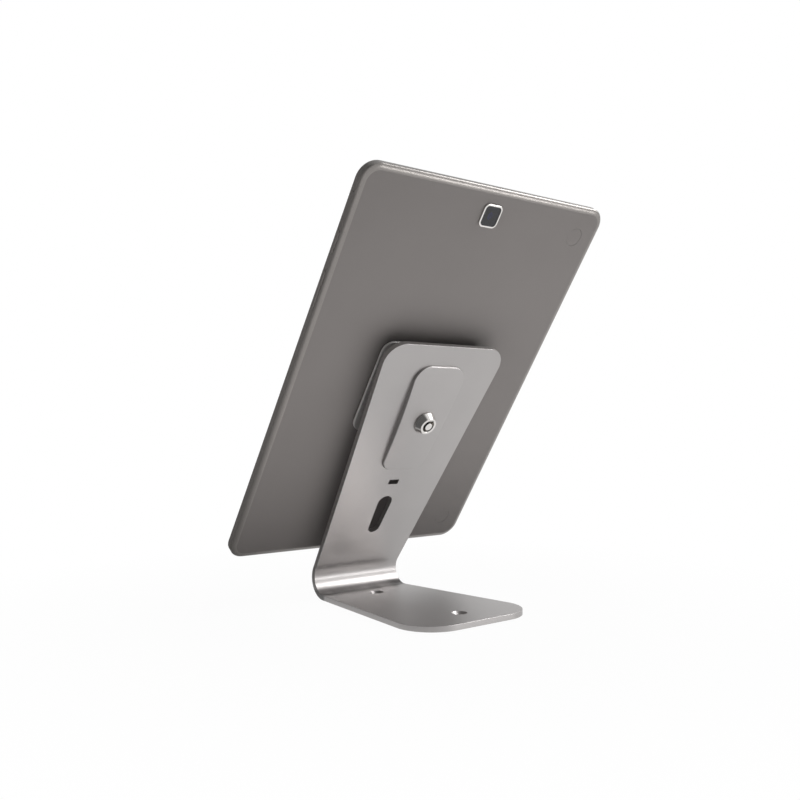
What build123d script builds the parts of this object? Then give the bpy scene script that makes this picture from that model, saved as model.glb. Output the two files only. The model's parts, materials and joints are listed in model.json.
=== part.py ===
from build123d import *
import math
import os

# Desk stand for a tablet. One bent sheet is the base and the leaning arm. A receiver on the
# front of the arm takes two rails on a plate that is bonded to the tablet's back. A key lock
# in a crowned cover on the back of the arm turns a cam over a strike on that plate.
# Millimetres and degrees. +Z is up, the screen looks towards -Y, and +X is to its right.
# The origin is midway between the two base screw holes, where the stand meets the table.

# Sheet of the stand
sheet_thickness = 3.0
bend_inner_radius = 9.4
arm_tilt = 55.6
arm_length = 154.6
base_length = 104.3
neck_width = 61.4
arm_top_width = 85.4
base_rear_width = 84.8
arm_corner_radius = 12.0
base_corner_radius = 21.0
neck_straight = 1.0
neck_round = 10.0
sheet_edge_round = 0.4

# Base screw holes and pad
base_hole_setback = 10.8
base_hole_rear_margin = 19.8
base_hole_radius = 2.25
base_sink_radius = 4.4
pad_thickness = 1.0
pad_inset = 5.0
pad_corner_radius = 4.0

# Slots in the arm: the cable lock's slot under the cover, and the cable slot under that
security_slot_drop = 9.9
security_slot_width = 7.2
security_slot_depth = 3.3
security_slot_round = 0.7
cable_slot_drop = 15.5
cable_slot_low_radius = 4.1
cable_slot_rise = 18.3
cable_slot_high_radius = 5.0

# Lock cover on the back of the arm
cover_top_gap = 12.4
cover_length = 69.4
cover_bottom_width = 29.2
cover_top_width = 35.9
cover_bottom_round = 7.0
cover_top_round = 9.5
cover_crown = 3.7
cover_end_height = 1.0
cover_wall = 1.3
cover_edge_round = 0.35
cover_boss_radius = 3.3
cover_screw_end_gap = 9.7
cover_thread_depth = 1.7

# Key lock
bezel_radius = 6.8
bezel_height = 4.2
bezel_rim = 0.6
bezel_seat_depth = 0.3
bezel_seat_gap = 0.2
lock_face_radius = 5.0
keyway_radius = 3.55
keyway_depth = 5.9
key_notch_width = 1.2
key_notch_depth = 0.6
key_notch_angle = 62.0
post_radius = 2.25
post_rise = 0.3
barrel_radius = 5.9
barrel_flat_width = 10.8
barrel_hole_gap = 0.15
barrel_tail = 2.9
spindle_bore_radius = 4.6
spindle_gap = 0.05
spindle_disc_thickness = 2.8
spindle_shaft_radius = 1.75
spindle_square = 2.4
pin_count = 7
pin_radius = 0.4
pin_circle_radius = 2.75
key_pin_length = 2.2
barrel_lip = 0.8
driver_pin_length = 1.4
spring_wire_radius = 0.09
spring_turns = 5
lock_washer_radius = 8.0
lock_washer_thickness = 0.5
lock_nut_width = 15.0
lock_nut_thickness = 2.1

# Cam on the lock's spindle
cam_gap = 0.2
cam_thickness = 1.2
cam_tip_gap = 1.7
cam_width = 7.0
cam_hub_radius = 4.2
cam_square_gap = 0.05
cam_screw_head_radius = 2.3
cam_screw_head_height = 1.2
cam_screw_radius = 0.7
cam_screw_length = 3.0

# Receiver on the front of the arm
receiver_lock_rise = 13.5
receiver_length = 55.0
receiver_width = 60.0
receiver_thickness = 6.3
receiver_web = 2.6
receiver_round = 4.0
receiver_sill = 3.6
receiver_side_wall = 3.4
rail_wall = 2.4
nut_pocket_gap = 0.9
rail_head_width = 7.4
rail_neck_width = 3.4
rail_top_gap = 7.2
rail_slide_gap = 0.3
rail_seat_gap = 0.2
receiver_lip = 1.5
receiver_screw_spacing_across = 25.0
receiver_screw_rise = 5.0
receiver_screw_drop = 16.0

# Countersunk screws of the stand
screw_radius = 1.5
screw_head_radius = 2.9
screw_hex_radius = 1.1
screw_hex_depth = 0.9
screw_hole_gap = 0.1
thread_gap = 0.03
screw_tip_gap = 0.3

# Plate bonded to the tablet
plate_width = 74.0
plate_length = 57.0
plate_thickness = 1.4
plate_corner_radius = 6.7
plate_edge_round = 0.3
plate_gap = 0.3
plate_screw_radius = 1.2
plate_screw_head_radius = 2.2
plate_screw_setback = 7.0
plate_screw_tip_gap = 0.5
adhesive_thickness = 1.85
adhesive_inset = 1.5
strike_width = 5.5
strike_sill_gap = 0.7
strike_overlap = 4.9
strike_cam_gap = 0.3
strike_floor_gap = 0.3

# Tablet body
tablet_width = 169.0
tablet_height = 237.3
tablet_thickness = 5.6
tablet_corner_radius = 10.0
tablet_receiver_rise = 27.6
back_cover_wall = 0.7
back_edge_depth = 1.3
back_edge_width = 3.2
back_edge_round = 0.5
frame_wall = 2.2
frame_front_round = 0.45
glass_thickness = 0.65
glass_inset = 0.9
glass_edge_round = 0.25
panel_side_border = 9.0
panel_top_border = 16.65
panel_bottom_border = 19.65
panel_thickness = 1.35
chassis_thickness = 0.45
chassis_gap = 0.1
stack_gap = 0.05
lug_length = 7.0
lug_reach = 4.0
lug_thickness = 1.0
lug_screw_radius = 0.6
lug_screw_head_radius = 1.1
lug_screw_head_height = 0.4
lug_side_shares = (-0.72, -0.30, 0.08, 0.935)
lug_jack_gap = 3.2

# Inside the tablet
battery_side_gap = 10.3
battery_cell_gap = 4.0
battery_end_gap = 30.65
battery_board_gap = 6.0
battery_round = 2.0
battery_back_gap = 0.15
board_side_gap = 7.3
board_tray_gap = 23.3
board_height = 36.0
board_top_gap = 30.65
board_thickness = 0.8
shield_height = 1.1
shield_side = 24.0
shield_wall = 0.2
shield_place_shares = (-0.30, 0.02, 0.34)
speaker_side_gap = 9.3
speaker_lug_gap = 2.6
speaker_height = 11.0
speaker_round = 1.5
speaker_hole_count = 6
speaker_hole_pitch = 2.4
speaker_hole_radius = 0.6
usb_width = 7.6
usb_thickness = 2.7
usb_length = 5.4
usb_wall = 0.3
usb_round = 0.6
usb_tongue_thickness = 0.6
usb_board_width = 40.0
usb_board_height = 9.0
jack_offset = 27.0
jack_bore_radius = 1.75
jack_gap = 0.175
jack_width = 6.4
jack_length = 13.0
socket_shift = 0.125

# Cameras on the tablet
camera_drop = 14.55
camera_width = 12.6
camera_round = 3.0
camera_height = 1.0
camera_rim = 0.9
camera_glass_thickness = 0.5
camera_glass_setback = 0.15
camera_module_width = 9.0
camera_lens_radius = 2.1
camera_fit_gap = 0.05
front_camera_offset = 18.0
front_camera_drop = 9.65
front_camera_radius = 2.6

# Keys, tray and small parts of the tablet
power_drop = 41.95
power_length = 12.3
volume_drop = 67.35
volume_length = 20.6
key_width = 2.0
key_depth = 2.8
key_stand = 0.45
key_flange = 0.6
key_flange_thickness = 0.5
key_gap = 0.15
key_stroke = 0.25
key_rest_gap = 0.25
key_edge_round = 0.2
key_switch_length = 4.0
key_switch_width = 2.0
key_switch_thickness = 1.1
home_width = 19.0
home_height = 6.6
home_lift = 10.05
home_gap = 0.15
home_stand = 0.1
home_flange = 0.8
home_flange_thickness = 0.4
home_stroke = 0.3
home_switch_radius = 2.0
mic_drop = 16.25
mic_radius = 0.45
mic_depth = 2.4
mic_can_side = 3.0
mic_can_thickness = 1.0
tray_drop = 40.65
tray_width = 12.6
tray_length = 16.4
tray_thickness = 0.8
tray_cap_thickness = 1.2
tray_cap_height = 1.5
tray_depth = 2.2
tray_gap = 0.1
tray_socket_wall = 0.3
card_margin = 1.2
latch_side_gap = 17.0
latch_end_gap = 17.65
latch_radius = 5.2
latch_gap = 0.12
latch_setback = 0.08
latch_thickness = 0.75
overrun = 1.0

# Places in the base's own frame
base_hole_spacing = base_length - base_hole_setback - base_hole_rear_margin
base_front = -(base_hole_setback + base_hole_spacing / 2)
sheet_under = pad_thickness
sheet_top = sheet_under + sheet_thickness
bend_centre_z = sheet_top + bend_inner_radius
tilt_sin = math.sin(math.radians(arm_tilt))
tilt_cos = math.cos(math.radians(arm_tilt))

# Arm's frame: X across, Y up the arm from the end of the bend, Z from its back to the screen
arm_plane = Plane(
    origin=(
        0,
        base_front - bend_inner_radius * tilt_sin,
        bend_centre_z + bend_inner_radius * tilt_cos,
    ),
    x_dir=(1, 0, 0),
    z_dir=(0, -tilt_sin, tilt_cos),
)
arm_front = sheet_thickness
cover_bottom = arm_length - cover_top_gap - cover_length
cover_middle = cover_bottom + cover_length / 2
cover_screw_offset = cover_length / 2 - cover_screw_end_gap
security_slot_height = cover_bottom - security_slot_drop
cable_slot_high = security_slot_height - cable_slot_drop
cable_slot_low = cable_slot_high - cable_slot_rise
cover_sagitta = cover_crown - cover_end_height
cover_arch_radius = ((cover_length / 2) ** 2 + cover_sagitta ** 2) / (2 * cover_sagitta)
lock_face = -(cover_crown + bezel_height)
lock_seat = -(cover_crown - bezel_seat_depth)
keyway_floor = lock_face + keyway_depth
disc_end = keyway_floor + spindle_gap + spindle_disc_thickness
pin_block_start = disc_end + spindle_gap
barrel_end = arm_front + barrel_tail
pin_block_end = barrel_end - barrel_lip
cam_back = barrel_end + cam_gap
cam_front = cam_back + cam_thickness
pocket_floor = arm_front + receiver_web
receiver_front = arm_front + receiver_thickness
receiver_bottom = cover_middle - receiver_lock_rise
receiver_top = receiver_bottom + receiver_length
rail_spacing = receiver_width - 2 * (receiver_side_wall + rail_slide_gap) - rail_head_width
pocket_width = rail_spacing - 2 * (rail_wall + rail_slide_gap) - rail_head_width
cam_length = pocket_width / 2 - cam_tip_gap
slot_front = receiver_front - receiver_lip
plate_back = receiver_front + plate_gap
tablet_rise = receiver_bottom + tablet_receiver_rise
plate_front = plate_back + plate_thickness
tablet_back = plate_front + adhesive_thickness
rail_bottom = receiver_bottom + receiver_sill + rail_seat_gap
rail_head_back = pocket_floor + rail_slide_gap
rail_head_front = slot_front - rail_slide_gap
rail_length = receiver_top - rail_top_gap - rail_bottom
strike_back = pocket_floor + strike_floor_gap
strike_top = cover_middle - cam_width / 2 - strike_cam_gap
strike_length = strike_top - (receiver_bottom + receiver_sill + strike_sill_gap)
strike_inner = -(cam_length - strike_overlap)
receiver_screw_bottom = receiver_bottom + receiver_screw_rise
receiver_screw_top = receiver_top - receiver_screw_drop

# Tablet's frame: X across, Y up, Z from the tablet's back to its screen
tablet_plane = Plane(
    origin=arm_plane.from_local_coords(Vector(0, tablet_rise, tablet_back)),
    x_dir=arm_plane.x_dir,
    z_dir=arm_plane.z_dir,
)
glass_back = tablet_thickness - glass_thickness
panel_front = glass_back - stack_gap
panel_back = panel_front - panel_thickness
chassis_front = panel_back - stack_gap
chassis_back = chassis_front - chassis_thickness
inner_width = tablet_width - 2 * frame_wall
inner_height = tablet_height - 2 * frame_wall
inner_corner_radius = tablet_corner_radius - frame_wall
frame_inner_x = inner_width / 2
frame_inner_low = -inner_height / 2
lug_front = chassis_back

# Places on the tablet, from its edges
tablet_top = tablet_height / 2
panel_width = tablet_width - 2 * panel_side_border
panel_height = tablet_height - panel_top_border - panel_bottom_border
panel_rise = (panel_bottom_border - panel_top_border) / 2
lug_end_offset = jack_offset + jack_width / 2 + lug_jack_gap + lug_length / 2
speaker_inner = lug_end_offset + lug_length / 2 + speaker_lug_gap
speaker_outer = frame_inner_x - speaker_side_gap
speaker_width = speaker_outer - speaker_inner
speaker_offset = (speaker_outer + speaker_inner) / 2
board_width = inner_width - board_side_gap - board_tray_gap
board_shift = (board_tray_gap - board_side_gap) / 2
board_bottom = tablet_top - board_top_gap - board_height
battery_bottom = battery_end_gap - tablet_top
battery_cell_width = inner_width / 2 - battery_side_gap - battery_cell_gap / 2
battery_cell_height = board_bottom - battery_board_gap - battery_bottom
jack_thickness = glass_back - back_cover_wall - 2 * jack_gap
socket_depth = (glass_back + back_cover_wall) / 2 - socket_shift
camera_rise = tablet_top - camera_drop
front_camera_rise = tablet_top - front_camera_drop
power_rise = tablet_top - power_drop
volume_rise = tablet_top - volume_drop
mic_rise = tablet_top - mic_drop
tray_rise = tablet_top - tray_drop
home_rise = home_lift - tablet_top
latch_offset = tablet_width / 2 - latch_side_gap
latch_rise = tablet_top - latch_end_gap


# Shapes that several pieces share
def block(x_low, x_high, y_low, y_high, z_low, z_high):
    size = (x_high - x_low, y_high - y_low, z_high - z_low)
    return Pos(x_low, y_low, z_low) * Box(*size, align=(Align.MIN, Align.MIN, Align.MIN))


def disc(x, y, z_low, z_high, radius):
    height = z_high - z_low
    return Pos(x, y, z_low) * Cylinder(radius, height, align=(Align.CENTER, Align.CENTER, Align.MIN))


def taper(x, y, z_low, z_high, low_radius, high_radius):
    height = z_high - z_low
    cone = Cone(low_radius, high_radius, height, align=(Align.CENTER, Align.CENTER, Align.MIN))
    return Pos(x, y, z_low) * cone


def rounded(x, y, z_low, z_high, width, height, radius):
    outline = Pos(x, y, z_low) * RectangleRounded(width, height, radius)
    return extrude(outline, z_high - z_low)


def flared_outline(low_y, low_width, high_y, high_width, low_round, high_round):
    outline = make_face(
        Polyline(
            (-low_width / 2, low_y),
            (low_width / 2, low_y),
            (high_width / 2, high_y),
            (-high_width / 2, high_y),
            close=True,
        )
    )
    if high_round > 0:
        outline = fillet(outline.vertices().group_by(Axis.Y)[-1], high_round)
    if low_round > 0:
        outline = fillet(outline.vertices().group_by(Axis.Y)[0], low_round)
    return outline


def group(solids):
    return Compound(children=list(solids))


def on_arm(shape):
    return arm_plane.location * shape


def on_tablet(shape):
    return tablet_plane.location * shape


def hex_cut(x, y, z_low, z_high, radius):
    return extrude(Pos(x, y, z_low) * RegularPolygon(radius, 6), z_high - z_low)


def countersunk_screw(x, y, head_z, tip_z, radius, head_radius):
    way = 1 if tip_z > head_z else -1
    neck_z = head_z + way * (head_radius - radius)
    if way > 0:
        head = taper(x, y, head_z, neck_z, head_radius, radius)
        shank = disc(x, y, neck_z, tip_z, radius)
        socket = hex_cut(x, y, head_z, head_z + screw_hex_depth, screw_hex_radius)
    else:
        head = taper(x, y, neck_z, head_z, radius, head_radius)
        shank = disc(x, y, tip_z, neck_z, radius)
        socket = hex_cut(x, y, head_z - screw_hex_depth, head_z, screw_hex_radius)
    return head + shank - socket


def countersunk_hole(x, y, head_z, tip_z, radius, head_radius, gap):
    way = 1 if tip_z > head_z else -1
    neck_z = head_z + way * (head_radius - radius)
    if way > 0:
        mouth = taper(x, y, head_z, neck_z, head_radius + gap, radius + gap)
        return mouth + disc(x, y, head_z, tip_z, radius + gap)
    mouth = taper(x, y, neck_z, head_z, radius + gap, head_radius + gap)
    return mouth + disc(x, y, tip_z, head_z, radius + gap)


# Places where things repeat
def base_hole_places():
    return [(0, -base_hole_spacing / 2), (0, base_hole_spacing / 2)]


def receiver_screw_places():
    across = receiver_screw_spacing_across / 2
    return [(x, y) for x in (-across, across) for y in (receiver_screw_bottom, receiver_screw_top)]


def cover_screw_places():
    return [(0, cover_middle - cover_screw_offset), (0, cover_middle + cover_screw_offset)]


def rail_screw_places():
    low = rail_bottom + plate_screw_setback
    high = rail_bottom + rail_length - plate_screw_setback
    return [(x, y) for x in (-rail_spacing / 2, rail_spacing / 2) for y in (low, high)]


def strike_screw_place():
    return (strike_inner - strike_width / 2, strike_top - strike_length / 2)


def pin_places(radius_from_axis):
    step = 2 * math.pi / pin_count
    return [
        (radius_from_axis * math.cos(step * turn), cover_middle + radius_from_axis * math.sin(step * turn))
        for turn in range(pin_count)
    ]


def lug_places():
    half_height = inner_height / 2
    half_width = inner_width / 2
    sides = [(side * half_width, share * half_height, 0) for share in lug_side_shares for side in (-1, 1)]
    ends = [(side * lug_end_offset, end * half_height, 1) for side in (-1, 1) for end in (-1, 1)]
    return sides + ends


# Stand
def rounded_sheet(outline, z_low):
    sheet = extrude(Pos(0, 0, z_low) * outline, sheet_thickness)
    long_edges = sheet.edges().filter_by(lambda edge: abs(edge.tangent_at(0.5).Z) < 0.5)
    rim = [edge for edge in long_edges if edge.center().Y > edge_start_y(outline)]
    return fillet(rim, sheet_edge_round)


def edge_start_y(outline):
    return outline.bounding_box().min.Y + sheet_edge_round


def leaf_outline(low_y, length, far_width, far_round):
    half_neck = neck_width / 2
    start_y = low_y + neck_straight
    outline = make_face(
        Polyline(
            (-half_neck, low_y),
            (half_neck, low_y),
            (half_neck, start_y),
            (far_width / 2, low_y + length),
            (-far_width / 2, low_y + length),
            (-half_neck, start_y),
            close=True,
        )
    )
    outline = fillet(outline.vertices().group_by(Axis.Y)[-1], far_round)
    necks = [corner for corner in outline.vertices() if abs(corner.Y - start_y) < sheet_edge_round]
    return fillet(necks, neck_round)


def stand_frame():
    base = rounded_sheet(
        leaf_outline(base_front, base_length, base_rear_width, base_corner_radius), sheet_under
    )
    arm = on_arm(rounded_sheet(leaf_outline(0, arm_length, arm_top_width, arm_corner_radius), 0))
    section_plane = Plane(
        origin=(0, base_front, sheet_under + sheet_thickness / 2), x_dir=(1, 0, 0), z_dir=(0, -1, 0)
    )
    section = section_plane * RectangleRounded(neck_width, sheet_thickness, sheet_edge_round)
    bend_axis = Axis((0, base_front, bend_centre_z), (-1, 0, 0))
    bend = revolve(section, bend_axis, 180 - arm_tilt)
    frame = base + bend + arm
    for x, y in base_hole_places():
        frame -= countersunk_hole(
            x, y, sheet_top, sheet_under, base_hole_radius, base_sink_radius, 0
        )
    return frame - on_arm(arm_cuts())


def arm_cuts():
    low = -overrun
    high = arm_front + overrun
    slot = rounded(
        0, security_slot_height, low, high, security_slot_width, security_slot_depth, security_slot_round
    )
    cuts = [slot, extrude(Pos(0, 0, low) * cable_slot_outline(), high - low)]
    barrel = disc(0, cover_middle, low, high, barrel_radius + barrel_hole_gap)
    half_flat = barrel_flat_width / 2 + barrel_hole_gap
    flats = block(
        -half_flat, half_flat, cover_middle - 2 * barrel_radius, cover_middle + 2 * barrel_radius, low, high
    )
    cuts.append(barrel & flats)
    for x, y in receiver_screw_places():
        cuts.append(countersunk_hole(x, y, 0, high, screw_radius, screw_head_radius, screw_hole_gap))
    for x, y in cover_screw_places():
        cuts.append(countersunk_hole(x, y, arm_front, low, screw_radius, screw_head_radius, screw_hole_gap))
    result = cuts[0]
    for cut in cuts[1:]:
        result += cut
    return result


def cable_slot_outline():
    high = cable_slot_high
    lean = math.asin((cable_slot_high_radius - cable_slot_low_radius) / cable_slot_rise)
    side_x = math.cos(lean)
    side_y = -math.sin(lean)
    corners = [
        (-cable_slot_low_radius * side_x, cable_slot_low + cable_slot_low_radius * side_y),
        (cable_slot_low_radius * side_x, cable_slot_low + cable_slot_low_radius * side_y),
        (cable_slot_high_radius * side_x, high + cable_slot_high_radius * side_y),
        (-cable_slot_high_radius * side_x, high + cable_slot_high_radius * side_y),
    ]
    middle = make_face(Polyline(*corners, close=True))
    low_end = Pos(0, cable_slot_low) * Circle(cable_slot_low_radius)
    high_end = Pos(0, high) * Circle(cable_slot_high_radius)
    return middle + low_end + high_end


def base_pad():
    shrink = 2 * pad_inset
    outline = flared_outline(
        base_front,
        neck_width - shrink,
        base_front + base_length - pad_inset,
        base_rear_width - shrink,
        pad_corner_radius,
        base_corner_radius - pad_inset,
    )
    pad = extrude(outline, pad_thickness)
    for x, y in base_hole_places():
        pad -= disc(x, y, 0, pad_thickness, base_hole_radius)
    return pad


# Lock cover
def cover_outline(inset):
    return flared_outline(
        cover_bottom + inset,
        cover_bottom_width - 2 * inset,
        cover_bottom + cover_length - inset,
        cover_top_width - 2 * inset,
        cover_bottom_round - inset,
        cover_top_round - inset,
    )


def arch(radius):
    centre = Pos(0, cover_middle, cover_arch_radius - cover_crown)
    return centre * Rot(0, 90, 0) * Cylinder(radius, 2 * cover_top_width)


def lock_cover():
    shell = extrude(Pos(0, 0, -cover_crown) * cover_outline(0), cover_crown) & arch(cover_arch_radius)
    crown_edges = shell.edges().filter_by(lambda edge: edge.center().Z < -sheet_edge_round)
    crown_edges = [edge for edge in crown_edges if abs(edge.tangent_at(0.5).Z) < 0.5]
    shell = fillet(crown_edges, cover_edge_round)
    hollow = extrude(Pos(0, 0, -cover_crown) * cover_outline(cover_wall), cover_crown)
    hollow = hollow & arch(cover_arch_radius - cover_wall)
    for x, y in cover_screw_places():
        hollow -= disc(x, y, -cover_crown, 0, cover_boss_radius)
    shell -= hollow
    for x, y in cover_screw_places():
        shell -= disc(x, y, -cover_thread_depth, 0, screw_radius + thread_gap)
    shell -= disc(0, cover_middle, -cover_crown, 0, barrel_radius + barrel_hole_gap)
    seat_radius = bezel_radius + bezel_seat_gap
    shell -= disc(0, cover_middle, lock_seat - overrun, lock_seat, seat_radius)
    return on_arm(shell)


def cover_screws():
    tip = -(cover_thread_depth - screw_tip_gap)
    return group(
        on_arm(countersunk_screw(x, y, arm_front, tip, screw_radius, screw_head_radius))
        for x, y in cover_screw_places()
    )


# Key lock, turned on its own axis: points are radius and depth
def turned(points):
    profile = make_face(Polyline(*[(radius, 0, depth) for radius, depth in points], close=True))
    return Pos(0, cover_middle, 0) * revolve(profile, Axis.Z)


def lock_housing():
    body = turned([
        (keyway_radius, lock_face),
        (lock_face_radius, lock_face),
        (bezel_radius, lock_seat - bezel_seat_depth - bezel_rim),
        (bezel_radius, lock_seat),
        (barrel_radius, lock_seat),
        (barrel_radius, barrel_end),
        (spindle_bore_radius, barrel_end),
        (spindle_bore_radius, keyway_floor),
        (keyway_radius, keyway_floor),
    ])
    half_flat = barrel_flat_width / 2
    for side in (-1, 1):
        inner = side * half_flat
        outer = side * 2 * barrel_radius
        body -= block(
            min(inner, outer),
            max(inner, outer),
            cover_middle - 2 * barrel_radius,
            cover_middle + 2 * barrel_radius,
            0,
            barrel_end + overrun,
        )
    notch = block(
        0, keyway_radius + key_notch_depth, -key_notch_width / 2, key_notch_width / 2,
        lock_face - overrun, keyway_floor,
    )
    body -= Pos(0, cover_middle, 0) * Rot(0, 0, 180 - key_notch_angle) * notch
    return on_arm(body)


def lock_plug():
    disc_start = keyway_floor + spindle_gap
    disc_radius = spindle_bore_radius - spindle_gap
    body = turned([
        (0, lock_face - post_rise),
        (post_radius, lock_face - post_rise),
        (post_radius, disc_start),
        (disc_radius, disc_start),
        (disc_radius, disc_end),
        (spindle_shaft_radius, disc_end),
        (spindle_shaft_radius, barrel_end),
        (0, barrel_end),
    ])
    half = spindle_square / 2
    tail = block(-half, half, cover_middle - half, cover_middle + half, barrel_end, cam_front)
    body += tail
    for x, y in pin_places(pin_circle_radius):
        body -= disc(x, y, disc_start, disc_end, pin_radius + thread_gap)
    body -= disc(0, cover_middle, cam_front - cam_screw_length, cam_front, cam_screw_radius + thread_gap)
    return on_arm(body)


def key_pins():
    front = disc_end - key_pin_length
    return group(
        on_arm(disc(x, y, front, disc_end, pin_radius)) for x, y in pin_places(pin_circle_radius)
    )


def pin_block():
    block_radius = spindle_bore_radius - thread_gap
    body = disc(0, cover_middle, pin_block_start, pin_block_end, block_radius)
    body -= disc(0, cover_middle, pin_block_start, pin_block_end, spindle_shaft_radius + spindle_gap)
    for x, y in pin_places(pin_circle_radius):
        body -= disc(x, y, pin_block_start, pin_spring_end(), pin_radius + thread_gap)
    return on_arm(body)


def pin_spring_end():
    return pin_block_end - 2 * spring_wire_radius


def driver_pins():
    end = pin_block_start + driver_pin_length
    return group(
        on_arm(disc(x, y, pin_block_start, end, pin_radius)) for x, y in pin_places(pin_circle_radius)
    )


def pin_springs():
    start = pin_block_start + driver_pin_length + spring_wire_radius
    height = pin_spring_end() - spring_wire_radius - start
    coil_radius = pin_radius - spring_wire_radius
    path = Helix(pitch=height / spring_turns, height=height, radius=coil_radius)
    wire_plane = Plane(origin=path @ 0, z_dir=path % 0)
    coil = sweep(wire_plane * Circle(spring_wire_radius), path)
    return group(on_arm(Pos(x, y, start) * coil) for x, y in pin_places(pin_circle_radius))


def lock_washer():
    end = arm_front + lock_washer_thickness
    ring = disc(0, cover_middle, arm_front, end, lock_washer_radius)
    return on_arm(ring - disc(0, cover_middle, arm_front, end, barrel_radius + barrel_hole_gap))


def lock_nut():
    start = arm_front + lock_washer_thickness
    end = start + lock_nut_thickness
    corner_radius = lock_nut_width / math.sqrt(3)
    nut = hex_cut(0, cover_middle, start, end, corner_radius)
    return on_arm(nut - disc(0, cover_middle, start, end, barrel_radius + thread_gap))


def lock_cam():
    blade = block(-cam_width / 2, cam_width / 2, 0, cam_length, cam_back, cam_front)
    tip_edges = blade.edges().filter_by(Axis.Z).group_by(Axis.Y)[-1]
    blade = fillet(tip_edges, cam_width / 4)
    cam = blade + disc(0, 0, cam_back, cam_front, cam_hub_radius)
    half = spindle_square / 2 + cam_square_gap
    cam -= block(-half, half, -half, half, cam_back, cam_front)
    return on_arm(Pos(0, cover_middle, 0) * cam)


def cam_screw():
    head = disc(0, cover_middle, cam_front, cam_front + cam_screw_head_height, cam_screw_head_radius)
    shank = disc(0, cover_middle, cam_front - cam_screw_length + screw_tip_gap, cam_front, cam_screw_radius)
    top = cam_front + cam_screw_head_height
    socket = hex_cut(0, cover_middle, top - cam_screw_head_height / 2, top, screw_hex_radius)
    return on_arm(head + shank - socket)


# Receiver and the plate that slides into it
def receiver():
    middle = (receiver_bottom + receiver_top) / 2
    body = rounded(0, middle, arm_front, receiver_front, receiver_width, receiver_length, receiver_round)
    sill_top = receiver_bottom + receiver_sill
    open_top = receiver_top + overrun
    half_pocket = pocket_width / 2
    body -= block(-half_pocket, half_pocket, sill_top, open_top, pocket_floor, receiver_front)
    for x in (-rail_spacing / 2, rail_spacing / 2):
        head = rail_head_width / 2 + rail_slide_gap
        neck = rail_neck_width / 2 + rail_slide_gap
        body -= block(x - head, x + head, sill_top, open_top, pocket_floor, slot_front)
        body -= block(x - neck, x + neck, sill_top, open_top, slot_front, receiver_front)
    nut_corner = lock_nut_width / math.sqrt(3) + nut_pocket_gap
    body -= disc(0, cover_middle, arm_front, pocket_floor, nut_corner)
    for x, y in receiver_screw_places():
        body -= disc(x, y, arm_front, pocket_floor, screw_radius + thread_gap)
    return on_arm(body)


def receiver_screws():
    tip = pocket_floor - screw_tip_gap
    return group(
        on_arm(countersunk_screw(x, y, 0, tip, screw_radius, screw_head_radius))
        for x, y in receiver_screw_places()
    )


def plate_screw_holes():
    places = rail_screw_places() + [strike_screw_place()]
    return [
        countersunk_hole(
            x, y, plate_front, plate_back, plate_screw_radius, plate_screw_head_radius, thread_gap
        )
        for x, y in places
    ]


def tablet_plate():
    body = rounded(
        0, tablet_rise, plate_back, plate_front, plate_width, plate_length, plate_corner_radius
    )
    rim = body.edges().filter_by(lambda edge: abs(edge.tangent_at(0.5).Z) < 0.5)
    body = fillet(rim, plate_edge_round)
    for hole in plate_screw_holes():
        body -= hole
    return on_arm(body)


def plate_rails():
    top = rail_bottom + rail_length
    half_head = rail_head_width / 2
    half_neck = rail_neck_width / 2
    thread_end = rail_head_back + plate_screw_tip_gap - screw_tip_gap
    solids = []
    for x in (-rail_spacing / 2, rail_spacing / 2):
        rail = block(x - half_head, x + half_head, rail_bottom, top, rail_head_back, rail_head_front)
        rail += block(x - half_neck, x + half_neck, rail_bottom, top, rail_head_front, plate_back)
        for hole_x, y in rail_screw_places():
            if hole_x * x > 0:
                rail -= disc(hole_x, y, thread_end, plate_back, plate_screw_radius + thread_gap)
        solids.append(on_arm(rail))
    return group(solids)


def strike():
    outer = strike_inner - strike_width
    body = block(outer, strike_inner, strike_top - strike_length, strike_top, strike_back, plate_back)
    x, y = strike_screw_place()
    tip = rail_head_back + plate_screw_tip_gap
    body -= disc(x, y, tip - screw_tip_gap, plate_back, plate_screw_radius + thread_gap)
    return on_arm(body)


def plate_screws():
    tip = rail_head_back + plate_screw_tip_gap
    places = rail_screw_places() + [strike_screw_place()]
    return group(
        on_arm(countersunk_screw(x, y, plate_front, tip, plate_screw_radius, plate_screw_head_radius))
        for x, y in places
    )


def adhesive_pad():
    return on_arm(rounded(
        0,
        tablet_rise,
        plate_front,
        tablet_back,
        plate_width - 2 * adhesive_inset,
        plate_length - 2 * adhesive_inset,
        plate_corner_radius - adhesive_inset,
    ))


# Tablet
def back_cover():
    body = rounded(0, 0, 0, back_edge_depth, tablet_width, tablet_height, tablet_corner_radius)
    back_rim = body.edges().group_by(Axis.Z)[0]
    body = chamfer(back_rim, back_edge_depth - back_edge_round / 2, back_edge_width)
    crest = [edge for edge in body.edges() if abs(edge.center().Z) < back_edge_round / 4]
    body = fillet(crest, back_edge_width / 2)
    hollow = rounded(
        0, 0, back_cover_wall, back_edge_depth, inner_width, inner_height, inner_corner_radius
    )
    body -= hollow
    hole = camera_width - camera_rim
    body -= rounded(0, camera_rise, 0, back_cover_wall, hole, hole, camera_round - camera_rim / 2)
    for y in (-latch_rise, latch_rise):
        body -= disc(-latch_offset, y, 0, back_cover_wall, latch_radius + latch_gap)
    return on_tablet(body)


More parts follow.
